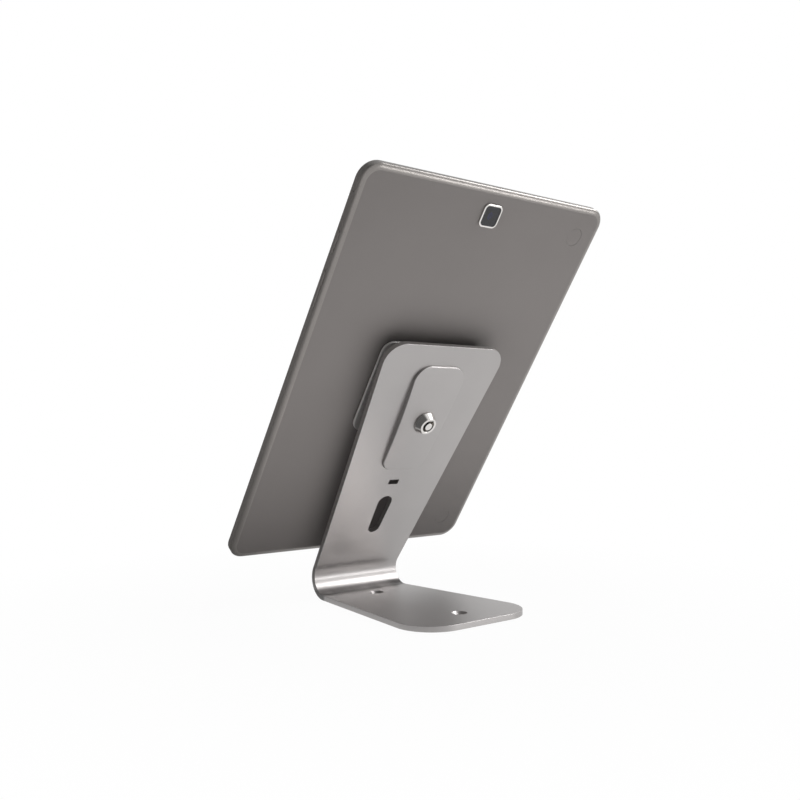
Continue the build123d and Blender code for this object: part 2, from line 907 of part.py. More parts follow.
def side_frame():
    body = rounded(
        0, 0, back_edge_depth, glass_back, tablet_width, tablet_height, tablet_corner_radius
    )
    front_rim = body.edges().group_by(Axis.Z)[-1]
    body = fillet(front_rim, frame_front_round)
    body -= rounded(
        0, 0, back_edge_depth, glass_back, inner_width, inner_height, inner_corner_radius
    )
    lug_back = lug_front - lug_thickness
    half = lug_length / 2
    for x, y, across in lug_places():
        if across:
            y_in = y - math.copysign(lug_reach, y)
            body += block(x - half, x + half, min(y, y_in), max(y, y_in), lug_back, lug_front)
        else:
            x_in = x - math.copysign(lug_reach, x)
            body += block(min(x, x_in), max(x, x_in), y - half, y + half, lug_back, lug_front)
    for x, y in lug_screw_places():
        body -= disc(x, y, lug_back, lug_front, lug_screw_radius + thread_gap)
    outer_x = tablet_width / 2
    for rise, length in ((power_rise, power_length), (volume_rise, volume_length)):
        half = length / 2 + key_gap
        slot_width = key_width + 2 * key_gap
        body -= obround_across(rise, 2 * half, slot_width, frame_inner_x - overrun, outer_x + overrun)
    body -= Pos(frame_inner_x, mic_rise, mic_depth) * Rot(0, 90, 0) * Cylinder(
        mic_radius, 2 * frame_wall + overrun
    )
    half_tray = tray_width / 2 + tray_gap
    tray_low = tray_depth - tray_cap_height / 2 - tray_gap
    tray_high = tray_depth + tray_cap_height / 2 + tray_gap
    body -= block(
        -outer_x - overrun, -frame_inner_x, tray_rise - half_tray, tray_rise + half_tray, tray_low, tray_high
    )
    low_y = -tablet_height / 2
    mouth = Pos(0, low_y, socket_depth) * Rot(90, 0, 0)
    body -= mouth * extrude(RectangleRounded(usb_width, usb_thickness, usb_round), 2 * frame_wall, both=True)
    jack = Pos(jack_offset, low_y, socket_depth) * Rot(90, 0, 0)
    body -= jack * Cylinder(jack_bore_radius, 4 * frame_wall)
    for x in speaker_hole_places():
        body -= Pos(x, low_y, socket_depth) * Rot(90, 0, 0) * Cylinder(speaker_hole_radius, 4 * frame_wall)
    return on_tablet(body)


def obround_across(rise, length, width, x_low, x_high):
    plane = Plane(origin=(x_low, rise, key_depth), x_dir=(0, 1, 0), z_dir=(1, 0, 0))
    outline = plane * SlotOverall(length, width)
    return extrude(outline, x_high - x_low)


def lug_screw_places():
    places = []
    for x, y, across in lug_places():
        shift = lug_reach / 2 + chassis_gap
        if across:
            places.append((x, y - math.copysign(shift, y)))
        else:
            places.append((x - math.copysign(shift, x), y))
    return places


def speaker_hole_places():
    start = -(speaker_hole_count - 1) / 2 * speaker_hole_pitch
    return [
        side * speaker_offset + start + step * speaker_hole_pitch
        for side in (-1, 1)
        for step in range(speaker_hole_count)
    ]


def display_glass():
    body = rounded(
        0,
        0,
        glass_back,
        tablet_thickness,
        tablet_width - 2 * glass_inset,
        tablet_height - 2 * glass_inset,
        tablet_corner_radius - glass_inset,
    )
    front_rim = body.edges().group_by(Axis.Z)[-1]
    body = fillet(front_rim, glass_edge_round)
    body -= rounded(
        0,
        home_rise,
        glass_back,
        tablet_thickness,
        home_width + 2 * home_gap,
        home_height + 2 * home_gap,
        home_height / 2,
    )
    return on_tablet(body)


def display_panel():
    return on_tablet(rounded(
        0, panel_rise, panel_back, panel_front, panel_width, panel_height, chassis_thickness
    ))


def chassis():
    shrink = 2 * chassis_gap
    body = rounded(
        0,
        0,
        chassis_back,
        chassis_front,
        inner_width - shrink,
        inner_height - shrink,
        inner_corner_radius - chassis_gap,
    )
    for x, y in lug_screw_places():
        body -= disc(x, y, chassis_back, chassis_front, lug_screw_radius + thread_gap)
    low = frame_inner_low
    usb_end = low + usb_length + chassis_gap
    half_usb = usb_width / 2 + chassis_gap
    body -= block(-half_usb, half_usb, low - overrun, usb_end, chassis_back, chassis_front)
    jack_half = jack_width / 2 + chassis_gap
    body -= block(
        jack_offset - jack_half,
        jack_offset + jack_half,
        low - overrun,
        low + jack_length + chassis_gap,
        chassis_back,
        chassis_front,
    )
    key_room = key_rest_gap + key_flange_thickness + key_stroke + key_gap
    for rise, length in ((power_rise, power_length), (volume_rise, volume_length)):
        half = length / 2 + key_flange + key_gap
        body -= block(
            frame_inner_x - key_room, frame_inner_x, rise - half, rise + half, chassis_back, chassis_front
        )
    return on_tablet(body)


def chassis_screws():
    head_front = chassis_front + lug_screw_head_height
    solids = []
    for x, y in lug_screw_places():
        head = disc(x, y, chassis_front, head_front, lug_screw_head_radius)
        shank = disc(x, y, lug_front - lug_thickness, chassis_front, lug_screw_radius)
        solids.append(on_tablet(head + shank))
    return group(solids)


def battery():
    shift = (battery_cell_width + battery_cell_gap) / 2
    middle = battery_bottom + battery_cell_height / 2
    low = back_cover_wall + battery_back_gap
    return group(
        on_tablet(rounded(
            x, middle, low, chassis_back, battery_cell_width, battery_cell_height, battery_round
        ))
        for x in (-shift, shift)
    )


def board_middle():
    return board_bottom + board_height / 2


def main_board():
    return on_tablet(rounded(
        board_shift,
        board_middle(),
        chassis_back - board_thickness,
        chassis_back,
        board_width,
        board_height,
        battery_round,
    ))


def board_shields():
    front = chassis_back - board_thickness
    back = front - shield_height
    solids = []
    for share in shield_place_shares:
        x = board_shift + share * board_width
        can = rounded(x, board_middle(), back, front, shield_side, shield_side, speaker_round)
        inside = shield_side - 2 * shield_wall
        can -= rounded(
            x, board_middle(), back + shield_wall, front, inside, inside, speaker_round - shield_wall
        )
        solids.append(on_tablet(can))
    return group(solids)


def speakers():
    low = back_cover_wall + battery_back_gap
    middle = frame_inner_low + stack_gap + speaker_height / 2
    return group(
        on_tablet(rounded(x, middle, low, chassis_back, speaker_width, speaker_height, speaker_round))
        for x in (-speaker_offset, speaker_offset)
    )


def usb_socket():
    mouth = Plane(
        origin=(0, frame_inner_low - frame_wall / 2, socket_depth), x_dir=(1, 0, 0), z_dir=(0, 1, 0)
    )
    width = usb_width - 2 * stack_gap
    thickness = usb_thickness - 2 * stack_gap
    length = usb_length + frame_wall / 2
    shell = extrude(mouth * RectangleRounded(width, thickness, usb_round), length)
    inner = RectangleRounded(width - 2 * usb_wall, thickness - 2 * usb_wall, usb_round - usb_wall / 2)
    shell -= extrude(mouth * inner, length - usb_wall)
    tongue = mouth * Rectangle(width - 4 * usb_wall, usb_tongue_thickness)
    shell += extrude(tongue, length)
    return on_tablet(shell)


def usb_board():
    low = frame_inner_low + usb_length + stack_gap
    front = chassis_back
    return on_tablet(block(
        -usb_board_width / 2,
        jack_offset - jack_width / 2 - stack_gap,
        low,
        low + usb_board_height,
        front - board_thickness,
        front,
    ))


def audio_jack():
    low = socket_depth - jack_thickness / 2
    start = frame_inner_low + stack_gap
    body = block(
        jack_offset - jack_width / 2,
        jack_offset + jack_width / 2,
        start,
        start + jack_length,
        low,
        low + jack_thickness,
    )
    bore = Pos(jack_offset, start, socket_depth) * Rot(90, 0, 0)
    body -= bore * Cylinder(jack_bore_radius, 2 * (jack_length - frame_wall))
    return on_tablet(body)


def camera_ring():
    back = -camera_height
    front = back_cover_wall
    lip = rounded(0, camera_rise, back, 0, camera_width, camera_width, camera_round)
    rim = lip.edges().group_by(Axis.Z)[0]
    lip = fillet(rim, camera_rim / 3)
    neck_width_here = camera_width - camera_rim - 2 * camera_fit_gap
    neck = rounded(
        0, camera_rise, 0, front, neck_width_here, neck_width_here, camera_round - camera_rim / 2
    )
    inside = camera_width - 2 * camera_rim
    opening = rounded(0, camera_rise, back, front, inside, inside, camera_round - camera_rim)
    return on_tablet(lip + neck - opening)


def camera_glass():
    back = -camera_height + camera_glass_setback
    side = camera_width - 2 * camera_rim - 2 * camera_fit_gap
    radius = camera_round - camera_rim - camera_fit_gap
    return on_tablet(rounded(
        0, camera_rise, back, back + camera_glass_thickness, side, side, radius
    ))


def rear_camera():
    back = -camera_height + camera_glass_setback + camera_glass_thickness
    half = camera_module_width / 2
    housing_back = back + stack_gap
    module = block(-half, half, camera_rise - half, camera_rise + half, housing_back, chassis_back)
    module -= disc(0, camera_rise, housing_back, housing_back + camera_lens_radius, camera_lens_radius)
    return on_tablet(module)


def camera_lens():
    housing_back = -camera_height + camera_glass_setback + camera_glass_thickness + stack_gap
    radius = camera_lens_radius - camera_fit_gap
    return on_tablet(disc(
        0, camera_rise, housing_back + camera_rim / 2, housing_back + camera_lens_radius, radius
    ))


def front_camera():
    return on_tablet(disc(
        front_camera_offset, front_camera_rise, chassis_front, glass_back, front_camera_radius
    ))


def side_key(rise, length):
    outer_x = tablet_width / 2 + key_stand
    body = obround_across(rise, length, key_width, frame_inner_x - key_rest_gap, outer_x)
    top_rim = body.edges().group_by(Axis.X)[-1]
    body = fillet(top_rim, key_edge_round)
    flange_x = frame_inner_x - key_rest_gap
    flange = block(
        flange_x - key_flange_thickness,
        flange_x,
        rise - length / 2 - key_flange,
        rise + length / 2 + key_flange,
        key_depth - key_width / 2,
        key_depth + key_width / 2,
    )
    return body + flange


def power_button():
    return on_tablet(side_key(power_rise, power_length))


def volume_rocker():
    return on_tablet(side_key(volume_rise, volume_length))


def key_switches():
    flange_back = frame_inner_x - key_rest_gap - key_flange_thickness
    front_x = flange_back - key_stroke - key_gap
    offset = volume_length / 2 - key_switch_length / 2
    rises = (power_rise, volume_rise - offset, volume_rise + offset)
    return group(
        on_tablet(block(
            front_x - key_switch_thickness,
            front_x,
            rise - key_switch_length / 2,
            rise + key_switch_length / 2,
            chassis_back - key_switch_width,
            chassis_back,
        ))
        for rise in rises
    )


def home_button():
    front = tablet_thickness + home_stand
    end_radius = home_height / 2 - home_gap
    cap = rounded(0, home_rise, glass_back - home_gap, front, home_width, home_height, end_radius)
    rim = cap.edges().group_by(Axis.Z)[-1]
    cap = fillet(rim, home_stand)
    flange = rounded(
        0,
        home_rise,
        glass_back - home_gap - home_flange_thickness,
        glass_back - home_gap,
        home_width + 2 * home_flange,
        home_height + 2 * home_flange,
        home_height / 2,
    )
    return on_tablet(cap + flange)


def home_switch():
    front = glass_back - home_gap - home_flange_thickness - home_stroke - home_gap
    return on_tablet(disc(0, home_rise, chassis_front, front, home_switch_radius))


def microphone():
    half = mic_can_side / 2
    front_x = frame_inner_x - stack_gap
    return on_tablet(block(
        front_x - mic_can_thickness,
        front_x,
        mic_rise - half,
        mic_rise + half,
        chassis_back - half,
        chassis_back,
    ))


def card_tray():
    outer_x = tablet_width / 2
    half_cap = tray_width / 2
    cap = block(
        -outer_x,
        -outer_x + tray_cap_thickness,
        tray_rise - half_cap,
        tray_rise + half_cap,
        tray_depth - tray_cap_height / 2,
        tray_depth + tray_cap_height / 2,
    )
    start = -outer_x + tray_cap_thickness
    end = -outer_x + tray_length
    side_low = tray_rise - half_cap + 2 * tray_gap
    side_high = tray_rise + half_cap - 2 * tray_gap
    low = tray_depth - tray_thickness / 2
    high = tray_depth + tray_thickness / 2
    sheet = block(start, end, side_low, side_high, low, high)
    sheet -= block(
        start + card_margin, end - card_margin, side_low + card_margin, side_high - card_margin, low, high
    )
    return on_tablet(cap + sheet)


def card_socket():
    start = -frame_inner_x + stack_gap
    end = -tablet_width / 2 + tray_length + tray_gap + tray_socket_wall
    half = tray_width / 2 + tray_socket_wall
    low = tray_depth - tray_thickness / 2 - tray_gap - tray_socket_wall
    body = block(start, end, tray_rise - half, tray_rise + half, low, chassis_back)
    inner = half - tray_socket_wall
    body -= block(
        start,
        end - tray_socket_wall,
        tray_rise - inner,
        tray_rise + inner,
        low + tray_socket_wall,
        tray_depth + tray_thickness / 2 + tray_gap,
    )
    return on_tablet(body)


def latch_studs():
    back = latch_setback
    return group(
        on_tablet(disc(-latch_offset, y, back, back + latch_thickness, latch_radius))
        for y in (-latch_rise, latch_rise)
    )


nodes = {
    "stand_frame": stand_frame,
    "base_pad": base_pad,
    "lock_cover": lock_cover,
    "cover_screws": cover_screws,
    "lock_housing": lock_housing,
    "lock_washer": lock_washer,
    "lock_nut": lock_nut,
    "pin_block": pin_block,
    "driver_pins": driver_pins,
    "pin_springs": pin_springs,
    "lock_plug": lock_plug,
    "key_pins": key_pins,
    "lock_cam": lock_cam,
    "cam_screw": cam_screw,
    "receiver": receiver,
    "receiver_screws": receiver_screws,
    "tablet_plate": tablet_plate,
    "plate_rails": plate_rails,
    "strike": strike,
    "plate_screws": plate_screws,
    "adhesive_pad": adhesive_pad,
    "back_cover": back_cover,
    "side_frame": side_frame,
    "display_glass": display_glass,
    "display_panel": display_panel,
    "chassis": chassis,
    "chassis_screws": chassis_screws,
    "battery": battery,
    "main_board": main_board,
    "board_shields": board_shields,
    "speakers": speakers,
    "usb_socket": usb_socket,
    "usb_board": usb_board,
    "audio_jack": audio_jack,
    "camera_ring": camera_ring,
    "camera_glass": camera_glass,
    "camera_lens": camera_lens,
    "rear_camera": rear_camera,
    "front_camera": front_camera,
    "power_button": power_button,
    "volume_rocker": volume_rocker,
    "key_switches": key_switches,
    "home_button": home_button,
    "home_switch": home_switch,
    "microphone": microphone,
    "card_tray": card_tray,
    "card_socket": card_socket,
    "latch_studs": latch_studs,
}

os.makedirs("parts", exist_ok=True)
for name, make in nodes.items():
    export_step(make(), "parts/" + name + ".step")
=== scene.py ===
import json
import math

import bmesh
import bpy
from bpy.props import FloatProperty, FloatVectorProperty, IntProperty, PointerProperty
from mathutils import Matrix, Vector


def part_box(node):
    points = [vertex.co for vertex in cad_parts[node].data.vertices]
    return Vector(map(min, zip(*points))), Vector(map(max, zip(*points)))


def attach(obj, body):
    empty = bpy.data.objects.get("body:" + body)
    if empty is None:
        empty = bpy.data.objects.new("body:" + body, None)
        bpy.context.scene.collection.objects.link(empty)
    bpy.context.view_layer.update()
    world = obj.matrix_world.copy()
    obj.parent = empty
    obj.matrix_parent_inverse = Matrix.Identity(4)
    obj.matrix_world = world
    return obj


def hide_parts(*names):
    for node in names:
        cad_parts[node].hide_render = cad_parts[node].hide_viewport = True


bl_info = {
    "name": "Locking Tablet Stand",
    "version": (1, 0, 0),
    "blender": (4, 5, 0),
    "location": "View3D > Sidebar > Stand",
    "description": "Builds a bent-sheet stand with a key lock and the tablet that it holds",
    "category": "Add Mesh",
}

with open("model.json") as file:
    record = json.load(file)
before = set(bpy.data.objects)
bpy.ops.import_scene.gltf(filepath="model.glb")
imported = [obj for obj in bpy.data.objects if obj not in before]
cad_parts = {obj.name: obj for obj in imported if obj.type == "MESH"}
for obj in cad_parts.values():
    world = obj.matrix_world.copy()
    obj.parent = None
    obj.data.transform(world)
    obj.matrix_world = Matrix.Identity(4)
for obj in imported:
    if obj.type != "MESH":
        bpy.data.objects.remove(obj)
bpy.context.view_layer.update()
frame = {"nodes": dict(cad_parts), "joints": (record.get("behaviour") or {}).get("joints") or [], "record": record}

MM = 0.001
OVERRUN = 2 * MM
MERGE = MM / 1000
NEAR = MM / 100
HOLE_STEPS = 64
SHARP = math.radians(50)
SMOOTH = math.radians(32)

# Patterns: where noise has nearly all its values, the size of faint blotches, and how much
# longer than wide the lines of a brushed metal are
NOISE_SPAN = (0.3, 0.7)
BLOTCH = 60 * MM
LINE_STRETCH = 60

# The arm's own axes come from the joints: the lock turns about the arm's normal, and the
# tablet lifts off along the arm.
joints = {joint["name"]: joint for joint in frame["joints"]}
lock_axis = Vector(joints["lock_turn"]["axis"])
up_arm = Vector(joints["tablet_slide"]["axis"])
lock_centre = Vector(joints["lock_turn"]["pos_m"])
across = up_arm.cross(lock_axis)


def colour(code):
    """An sRGB hex code as the linear colour that a shader takes."""
    channels = [int(code[place:place + 2], 16) / 255 for place in (0, 2, 4)]
    linear = [c / 12.92 if c <= 0.04045 else ((c + 0.055) / 1.055) ** 2.4 for c in channels]
    return (*linear, 1.0)


def length(name, description, default):
    return FloatProperty(
        name=name, description=description, default=default * MM, unit="LENGTH", precision=5
    )


def angle(name, description, default):
    return FloatProperty(
        name=name, description=description, default=math.radians(default), unit="ROTATION"
    )


def paint(name, description, code):
    return FloatVectorProperty(
        name=name, description=description, default=colour(code), size=4, subtype="COLOR"
    )


class SheetSizes(bpy.types.PropertyGroup):
    """The bent sheet of the stand."""
    thickness: length("Thickness", "Thickness of the sheet", 3.0)
    bend_radius: length("Bend radius", "Inner radius of the bend", 9.4)
    tilt: angle("Tilt", "Angle of the arm above the table", 55.6)
    neck: length("Neck width", "Width of the sheet at the bend", 61.4)
    arm_length: length("Arm length", "Length of the arm from the bend", 154.6)
    arm_width: length("Arm width", "Width at the arm's top", 85.4)
    arm_round: length("Arm corners", "Radius of the arm's top corners", 12.0)
    base_length: length("Base length", "Length of the base from the bend", 104.3)
    base_width: length("Base width", "Width at the base's rear", 84.8)
    base_round: length("Base corners", "Radius of the base's rear corners", 21.0)
    edge: length("Edge round", "Radius along the sheet's edges", 0.14)
    rim: length("Hole edge", "Broken edge of the holes", 0.18)
    hole: length("Screw hole", "Radius of the base's screw holes", 2.25)
    sink: length("Countersink", "Radius of the countersinks", 4.4)
    hole_setback: length("Hole setback", "First screw hole from the bend", 10.8)
    hole_spacing: length("Hole spacing", "Between the two screw holes", 73.7)
    slot_height: length("Lock slot height", "Cable lock's slot above the bend", 62.9)
    slot_width: length("Lock slot width", "Width of the cable lock's slot", 7.2)
    slot_depth: length("Lock slot depth", "Height of the cable lock's slot", 3.3)
    slot_round: length("Lock slot corners", "Corner radius of that slot", 0.7)
    cable_low: length("Cable slot foot", "Lower round of the cable slot above the bend", 29.1)
    cable_rise: length("Cable slot rise", "Between the cable slot's two rounds", 18.3)
    cable_low_round: length("Cable slot low round", "Radius of the lower end", 4.1)
    cable_high_round: length("Cable slot high round", "Radius of the upper end", 5.0)
    lock_height: length("Lock height", "Lock's axis above the bend", 107.5)
    screw: length("Screw radius", "Radius of the screws under the cover", 1.6)
    screw_head: length("Screw head", "Radius of those screws' heads", 3.0)
    screw_across: length("Screws across", "Receiver screws from the middle", 12.5)
    screw_low: length("Lower screws", "Lower receiver screws above the bend", 99.0)
    screw_high: length("Upper screws", "Upper receiver screws above the bend", 133.0)
    bend_steps: IntProperty(name="Bend steps", description="Faces round the bend", default=48, min=8)
    round_steps: IntProperty(name="Corner steps", description="Faces per corner", default=20, min=4)


class CoverSizes(bpy.types.PropertyGroup):
    """The crowned cover that hides the lock's screws."""
    bottom: length("Bottom", "Lower end above the bend", 72.8)
    tall: length("Length", "Length up the arm", 69.4)
    low_width: length("Lower width", "Width at the lower end", 29.2)
    high_width: length("Upper width", "Width at the upper end", 35.9)
    low_round: length("Lower corners", "Radius of the lower corners", 7.0)
    high_round: length("Upper corners", "Radius of the upper corners", 9.5)
    crown: length("Crown", "Height at the middle", 3.7)
    end_height: length("End height", "Height at both ends", 1.0)
    wall: length("Wall", "Thickness of the wall", 1.3)
    edge: length("Edge round", "Radius along the upper edge", 0.55)
    side_fall: FloatProperty(
        name="Side fall", description="Share of the crown lost at the sides",
        default=0.42, min=0.0, max=1.0,
    )
    slices: IntProperty(name="Slices", description="Faces along the crown", default=40, min=8)
    cross_slices: IntProperty(name="Cross slices", description="Faces across it", default=14, min=2)


class LockSizes(bpy.types.PropertyGroup):
    """The tubular key lock."""
    bezel: length("Bezel radius", "Radius of the bezel's foot", 6.8)
    height: length("Bezel height", "Face above the cover's crown", 4.2)
    rim: length("Bezel rim", "Straight part at the bezel's foot", 0.6)
    seat: length("Seat depth", "Depth of the bezel's seat in the cover", 0.3)
    face: length("Face radius", "Outer radius of the flat face ring", 5.0)
    keyway: length("Keyway radius", "Outer radius of the keyway", 3.55)
    keyway_depth: length("Keyway depth", "Depth of the keyway", 5.9)
    notch_width: length("Notch width", "Width of the key's notch", 1.2)
    notch_depth: length("Notch depth", "Reach of the notch into the ring", 0.6)
    notch_turn: angle("Notch angle", "Where the notch stands in the ring", 62.0)
    post: length("Post radius", "Radius of the centre post", 2.25)
    post_rise: length("Post rise", "Post's face above the ring", 0.3)
    barrel: length("Barrel radius", "Radius of the barrel", 5.9)
    barrel_flats: length("Barrel flats", "Width across the barrel's flats", 10.8)
    barrel_tail: length("Barrel tail", "Barrel beyond the sheet", 2.9)
    bore: length("Bore radius", "Bore that the spindle turns in", 4.6)
    gap: length("Gap", "Running gap of the spindle", 0.05)
    disc: length("Disc", "Thickness of the spindle's disc", 2.8)
    shaft: length("Shaft radius", "Radius of the spindle's shaft", 1.75)
    square: length("Square", "Square end that carries the cam", 2.4)
    edge: length("Edge round", "Radius along the lock's edges", 0.22)
    steps: IntProperty(name="Steps", description="Faces round the lock", default=96, min=24)


class TabletSizes(bpy.types.PropertyGroup):
    """The tablet's outer shells."""
    width: length("Width", "Short side of the tablet", 169.0)
    height: length("Height", "Long side of the tablet", 237.3)
    corner: length("Corners", "Radius of the outline's corners", 10.0)
    rise: length("Rise", "Tablet's middle above the bend", 121.6)
    edge_width: length("Edge width", "Width of the curved edge", 3.2)
    edge_depth: length("Edge depth", "Depth of the curved edge", 1.3)
    edge_flat: FloatProperty(
        name="Edge flatness", description="Zero for an ellipse, one for a plain bevel",
        default=0.25, min=0.0, max=1.0,
    )
    wall: length("Back wall", "Thickness of the back cover", 0.7)
    side_wall: length("Side wall", "Thickness of the side frame", 2.2)
    camera_rise: length("Camera rise", "Camera above the middle", 104.1)
    camera_hole: length("Camera hole", "Side of the camera's hole", 11.7)
    camera_round: length("Camera corners", "Corner radius of the hole", 2.55)
    latch_side: length("Latch side", "Round marks from the middle", 67.5)
    latch_rise: length("Latch rise", "Round marks above the middle", 101.0)
    latch: length("Latch radius", "Radius of the round marks' holes", 5.32)
    screen_width: length("Screen width", "Lit width of the display", 148.0)
    screen_height: length("Screen height", "Lit height of the display", 197.3)
    edge_steps: IntProperty(
        name="Edge steps", description="Faces over the curved edge", default=10, min=4
    )
    round_steps: IntProperty(name="Corner steps", description="Faces per corner", default=20, min=4)


class Finishes(bpy.types.PropertyGroup):
    """Colours of the finishes."""
    sheet: paint("Stand sheet", "Blasted and anodised aluminium", "A7A4A3")
    cover: paint("Lock cover", "Blasted die casting", "AAA7A6")
    plate: paint("Plate", "Brushed stainless steel", "C6C4C2")
    back: paint("Tablet back", "Matt moulded back", "6E6A68")
    edge: paint("Tablet edge", "Satin painted edge", "807C79")
    side: paint("Tablet side", "Dark anodised side", "7C7875")
    nickel: paint("Lock", "Polished nickel plate", "DAD7D4")
    floor: paint("Floor", "Pale floor", "F4F4F4")


def arm_place():
    """The arm's local frame: X across, Y up the arm, Z towards the screen."""
    sizes = bpy.context.scene.stand_sheet
    turn = Matrix((across, up_arm, lock_axis)).transposed().to_4x4()
    return Matrix.Translation(lock_centre - up_arm * sizes.lock_height) @ turn


def tablet_place():
    """The tablet's local frame, with its origin in the middle of the back."""
    sizes = bpy.context.scene.stand_tablet
    return arm_place() @ Matrix.Translation((0, sizes.rise, front_of("adhesive_pad")))


def bend_start():
    """Where the base turns into the bend, along Y."""
    sizes = bpy.context.scene.stand_sheet
    return -(sizes.hole_setback + sizes.hole_spacing / 2)


def front_of(node):
    """How far towards the screen a node reaches, in the arm's frame."""
    back = arm_place().inverted()
    return max((back @ vert.co).z for vert in frame["nodes"][node].data.vertices)


# Making of shapes

def outlined(shape, corners, rounds, steps):
    """A flat face from its corners, each rounded by its own radius."""
    others = set(shape.faces)
    verts = [shape.verts.new((x, y, 0)) for x, y in corners]
    shape.faces.new(verts)
    for place, radius in enumerate(rounds):
        if not radius:
            continue
        before = Vector(corners[place - 1]) - Vector(corners[place])
        after = Vector(corners[(place + 1) % len(corners)]) - Vector(corners[place])
        reach = radius / math.tan(before.angle(after) / 2)
        bmesh.ops.bevel(
            shape, geom=[verts[place]], offset=reach, offset_type="OFFSET", segments=steps,
            profile=0.5, affect="VERTICES", clamp_overlap=False, material=-1,
        )
    made = [face for face in shape.faces if face not in others]
    verts = list({vert for face in made for vert in face.verts})
    bmesh.ops.remove_doubles(shape, verts=verts, dist=MERGE)
    return made


def raised(shape, faces, height):
    """Gives flat faces a thickness along Z and returns the far side's faces."""
    made = bmesh.ops.extrude_face_region(shape, geom=faces)["geom"]
    verts = [item for item in made if isinstance(item, bmesh.types.BMVert)]
    bmesh.ops.translate(shape, verts=verts, vec=(0, 0, height))
    bmesh.ops.recalc_face_normals(shape, faces=shape.faces[:])
    return [item for item in made if isinstance(item, bmesh.types.BMFace)]


def rounded_corners(width, height, x=0, y=0):
    return [
        (x + width / 2 * side, y + height / 2 * end)
        for side, end in ((-1, -1), (1, -1), (1, 1), (-1, 1))
    ]


def slab(shape, corners, rounds, steps, low, high):
    faces = outlined(shape, corners, rounds, steps)
    verts = list({vert for face in faces for vert in face.verts})
    bmesh.ops.translate(shape, verts=verts, vec=(0, 0, low))
    return raised(shape, faces, high - low)


def stretched(shape, rounds, low, high):
    """The hull of circles on the middle line, each given by its height and radius."""
    verts = []
    for y, radius in rounds:
        for z in (low, high):
            verts += bmesh.ops.create_circle(
                shape, segments=HOLE_STEPS, radius=radius, matrix=Matrix.Translation((0, y, z))
            )["verts"]
    hull = bmesh.ops.convex_hull(shape, input=verts, use_existing_faces=False)
    loose = [item for item in hull["geom_interior"] if isinstance(item, bmesh.types.BMVert)]
    bmesh.ops.delete(shape, geom=loose, context="VERTS")
    made = [item for item in hull["geom"] if item.is_valid]
    bmesh.ops.dissolve_limit(
        shape, angle_limit=math.radians(0.5),
        verts=[item for item in made if isinstance(item, bmesh.types.BMVert)],
        edges=[item for item in made if isinstance(item, bmesh.types.BMEdge)],
    )
    bmesh.ops.recalc_face_normals(shape, faces=shape.faces[:])


def sharp_edges(shape, limit=SHARP):
    return [
        edge for edge in shape.edges
        if len(edge.link_faces) == 2 and edge.calc_face_angle(0) > limit
    ]


def softened(shape, edges, radius, steps=3):
    bmesh.ops.bevel(
        shape, geom=edges, offset=radius, offset_type="OFFSET", segments=steps, profile=0.5,
        affect="EDGES", clamp_overlap=True, material=-1, loop_slide=True,
    )


def turned(shape, points, steps, centre=(0, 0, 0)):
    """Spins a profile of radius and depth about Z, closed unless it ends on the axis."""
    centre = Vector(centre)
    verts = [shape.verts.new(centre + Vector((radius, 0, depth))) for radius, depth in points]
    ends = verts[1:] if points[0][0] == points[-1][0] == 0 else verts[1:] + verts[:1]
    edges = [shape.edges.new(pair) for pair in zip(verts, ends)]
    bmesh.ops.spin(
        shape, geom=verts + edges, cent=centre, axis=(0, 0, 1), angle=2 * math.pi, steps=steps,
        use_merge=True, use_normal_flip=False, use_duplicate=False,
    )
    bmesh.ops.remove_doubles(shape, verts=shape.verts[:], dist=MERGE)
    bmesh.ops.dissolve_degenerate(shape, edges=shape.edges[:], dist=MERGE)
    bmesh.ops.recalc_face_normals(shape, faces=shape.faces[:])


def loose_object(shape, name, place=None):
    """An object from a shape, with its place in its mesh."""
    if place is not None:
        bmesh.ops.transform(shape, matrix=place, verts=shape.verts[:])
    mesh = bpy.data.meshes.new(name)
    shape.to_mesh(mesh)
    shape.free()
    piece = bpy.data.objects.new(name, mesh)
    bpy.context.scene.collection.objects.link(piece)
    return piece


def cut_away(piece, *cutters):
    """Cuts other objects out of a piece and deletes them."""
    for cutter in cutters:
        cut = piece.modifiers.new("cut", "BOOLEAN")
        cut.operation = "DIFFERENCE"
        cut.solver = "MANIFOLD"
        cut.object = cutter
    bpy.context.view_layer.update()
    settled = piece.evaluated_get(bpy.context.evaluated_depsgraph_get())
    mesh = bpy.data.meshes.new_from_object(settled)
    piece.modifiers.clear()
    old = piece.data
    piece.data = mesh
    mesh.name = piece.name
    bpy.data.meshes.remove(old)
    for cutter in cutters:
        bpy.data.objects.remove(cutter)


def finished(piece, body, nodes, materials):
    """Smooths a piece, gives it its finishes and hands it to its body."""
    shape = bmesh.new()
    shape.from_mesh(piece.data)
    open_edges = [edge for edge in shape.edges if len(edge.link_faces) != 2]
    if open_edges or not shape.faces:
        raise RuntimeError(piece.name + " didn't come out closed")
    shape.free()
    piece.data.materials.clear()
    for material in materials:
        piece.data.materials.append(material)
    piece.data.shade_smooth()
    piece.data.set_sharp_from_angle(angle=SMOOTH)
    even = piece.modifiers.new("even shading", "WEIGHTED_NORMAL")
    even.keep_sharp = True
    even.weight = 100
    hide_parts(*nodes)
    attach(piece, body)
    return piece


# Finishes

def add_node(tree, kind, links=None, **settings):
    """Adds a shader node, with its settings, its values and its links."""
    node = tree.nodes.new(kind)
    for name, value in settings.items():
        setattr(node, name, value)
    for name, value in (links or {}).items():
        if isinstance(value, bpy.types.NodeSocket):
            tree.links.new(value, node.inputs[name])
        else:
            node.inputs[name].default_value = value
    return node


def remapped(tree, value, start, stop, to_start, to_stop, smooth=False):
    """A value moved from one range to another and held at its ends."""
    return add_node(tree, "ShaderNodeMapRange", {
        "Value": value, "From Min": start, "From Max": stop, "To Min": to_start, "To Max": to_stop,
    }, interpolation_type="SMOOTHSTEP" if smooth else "LINEAR").outputs["Result"]


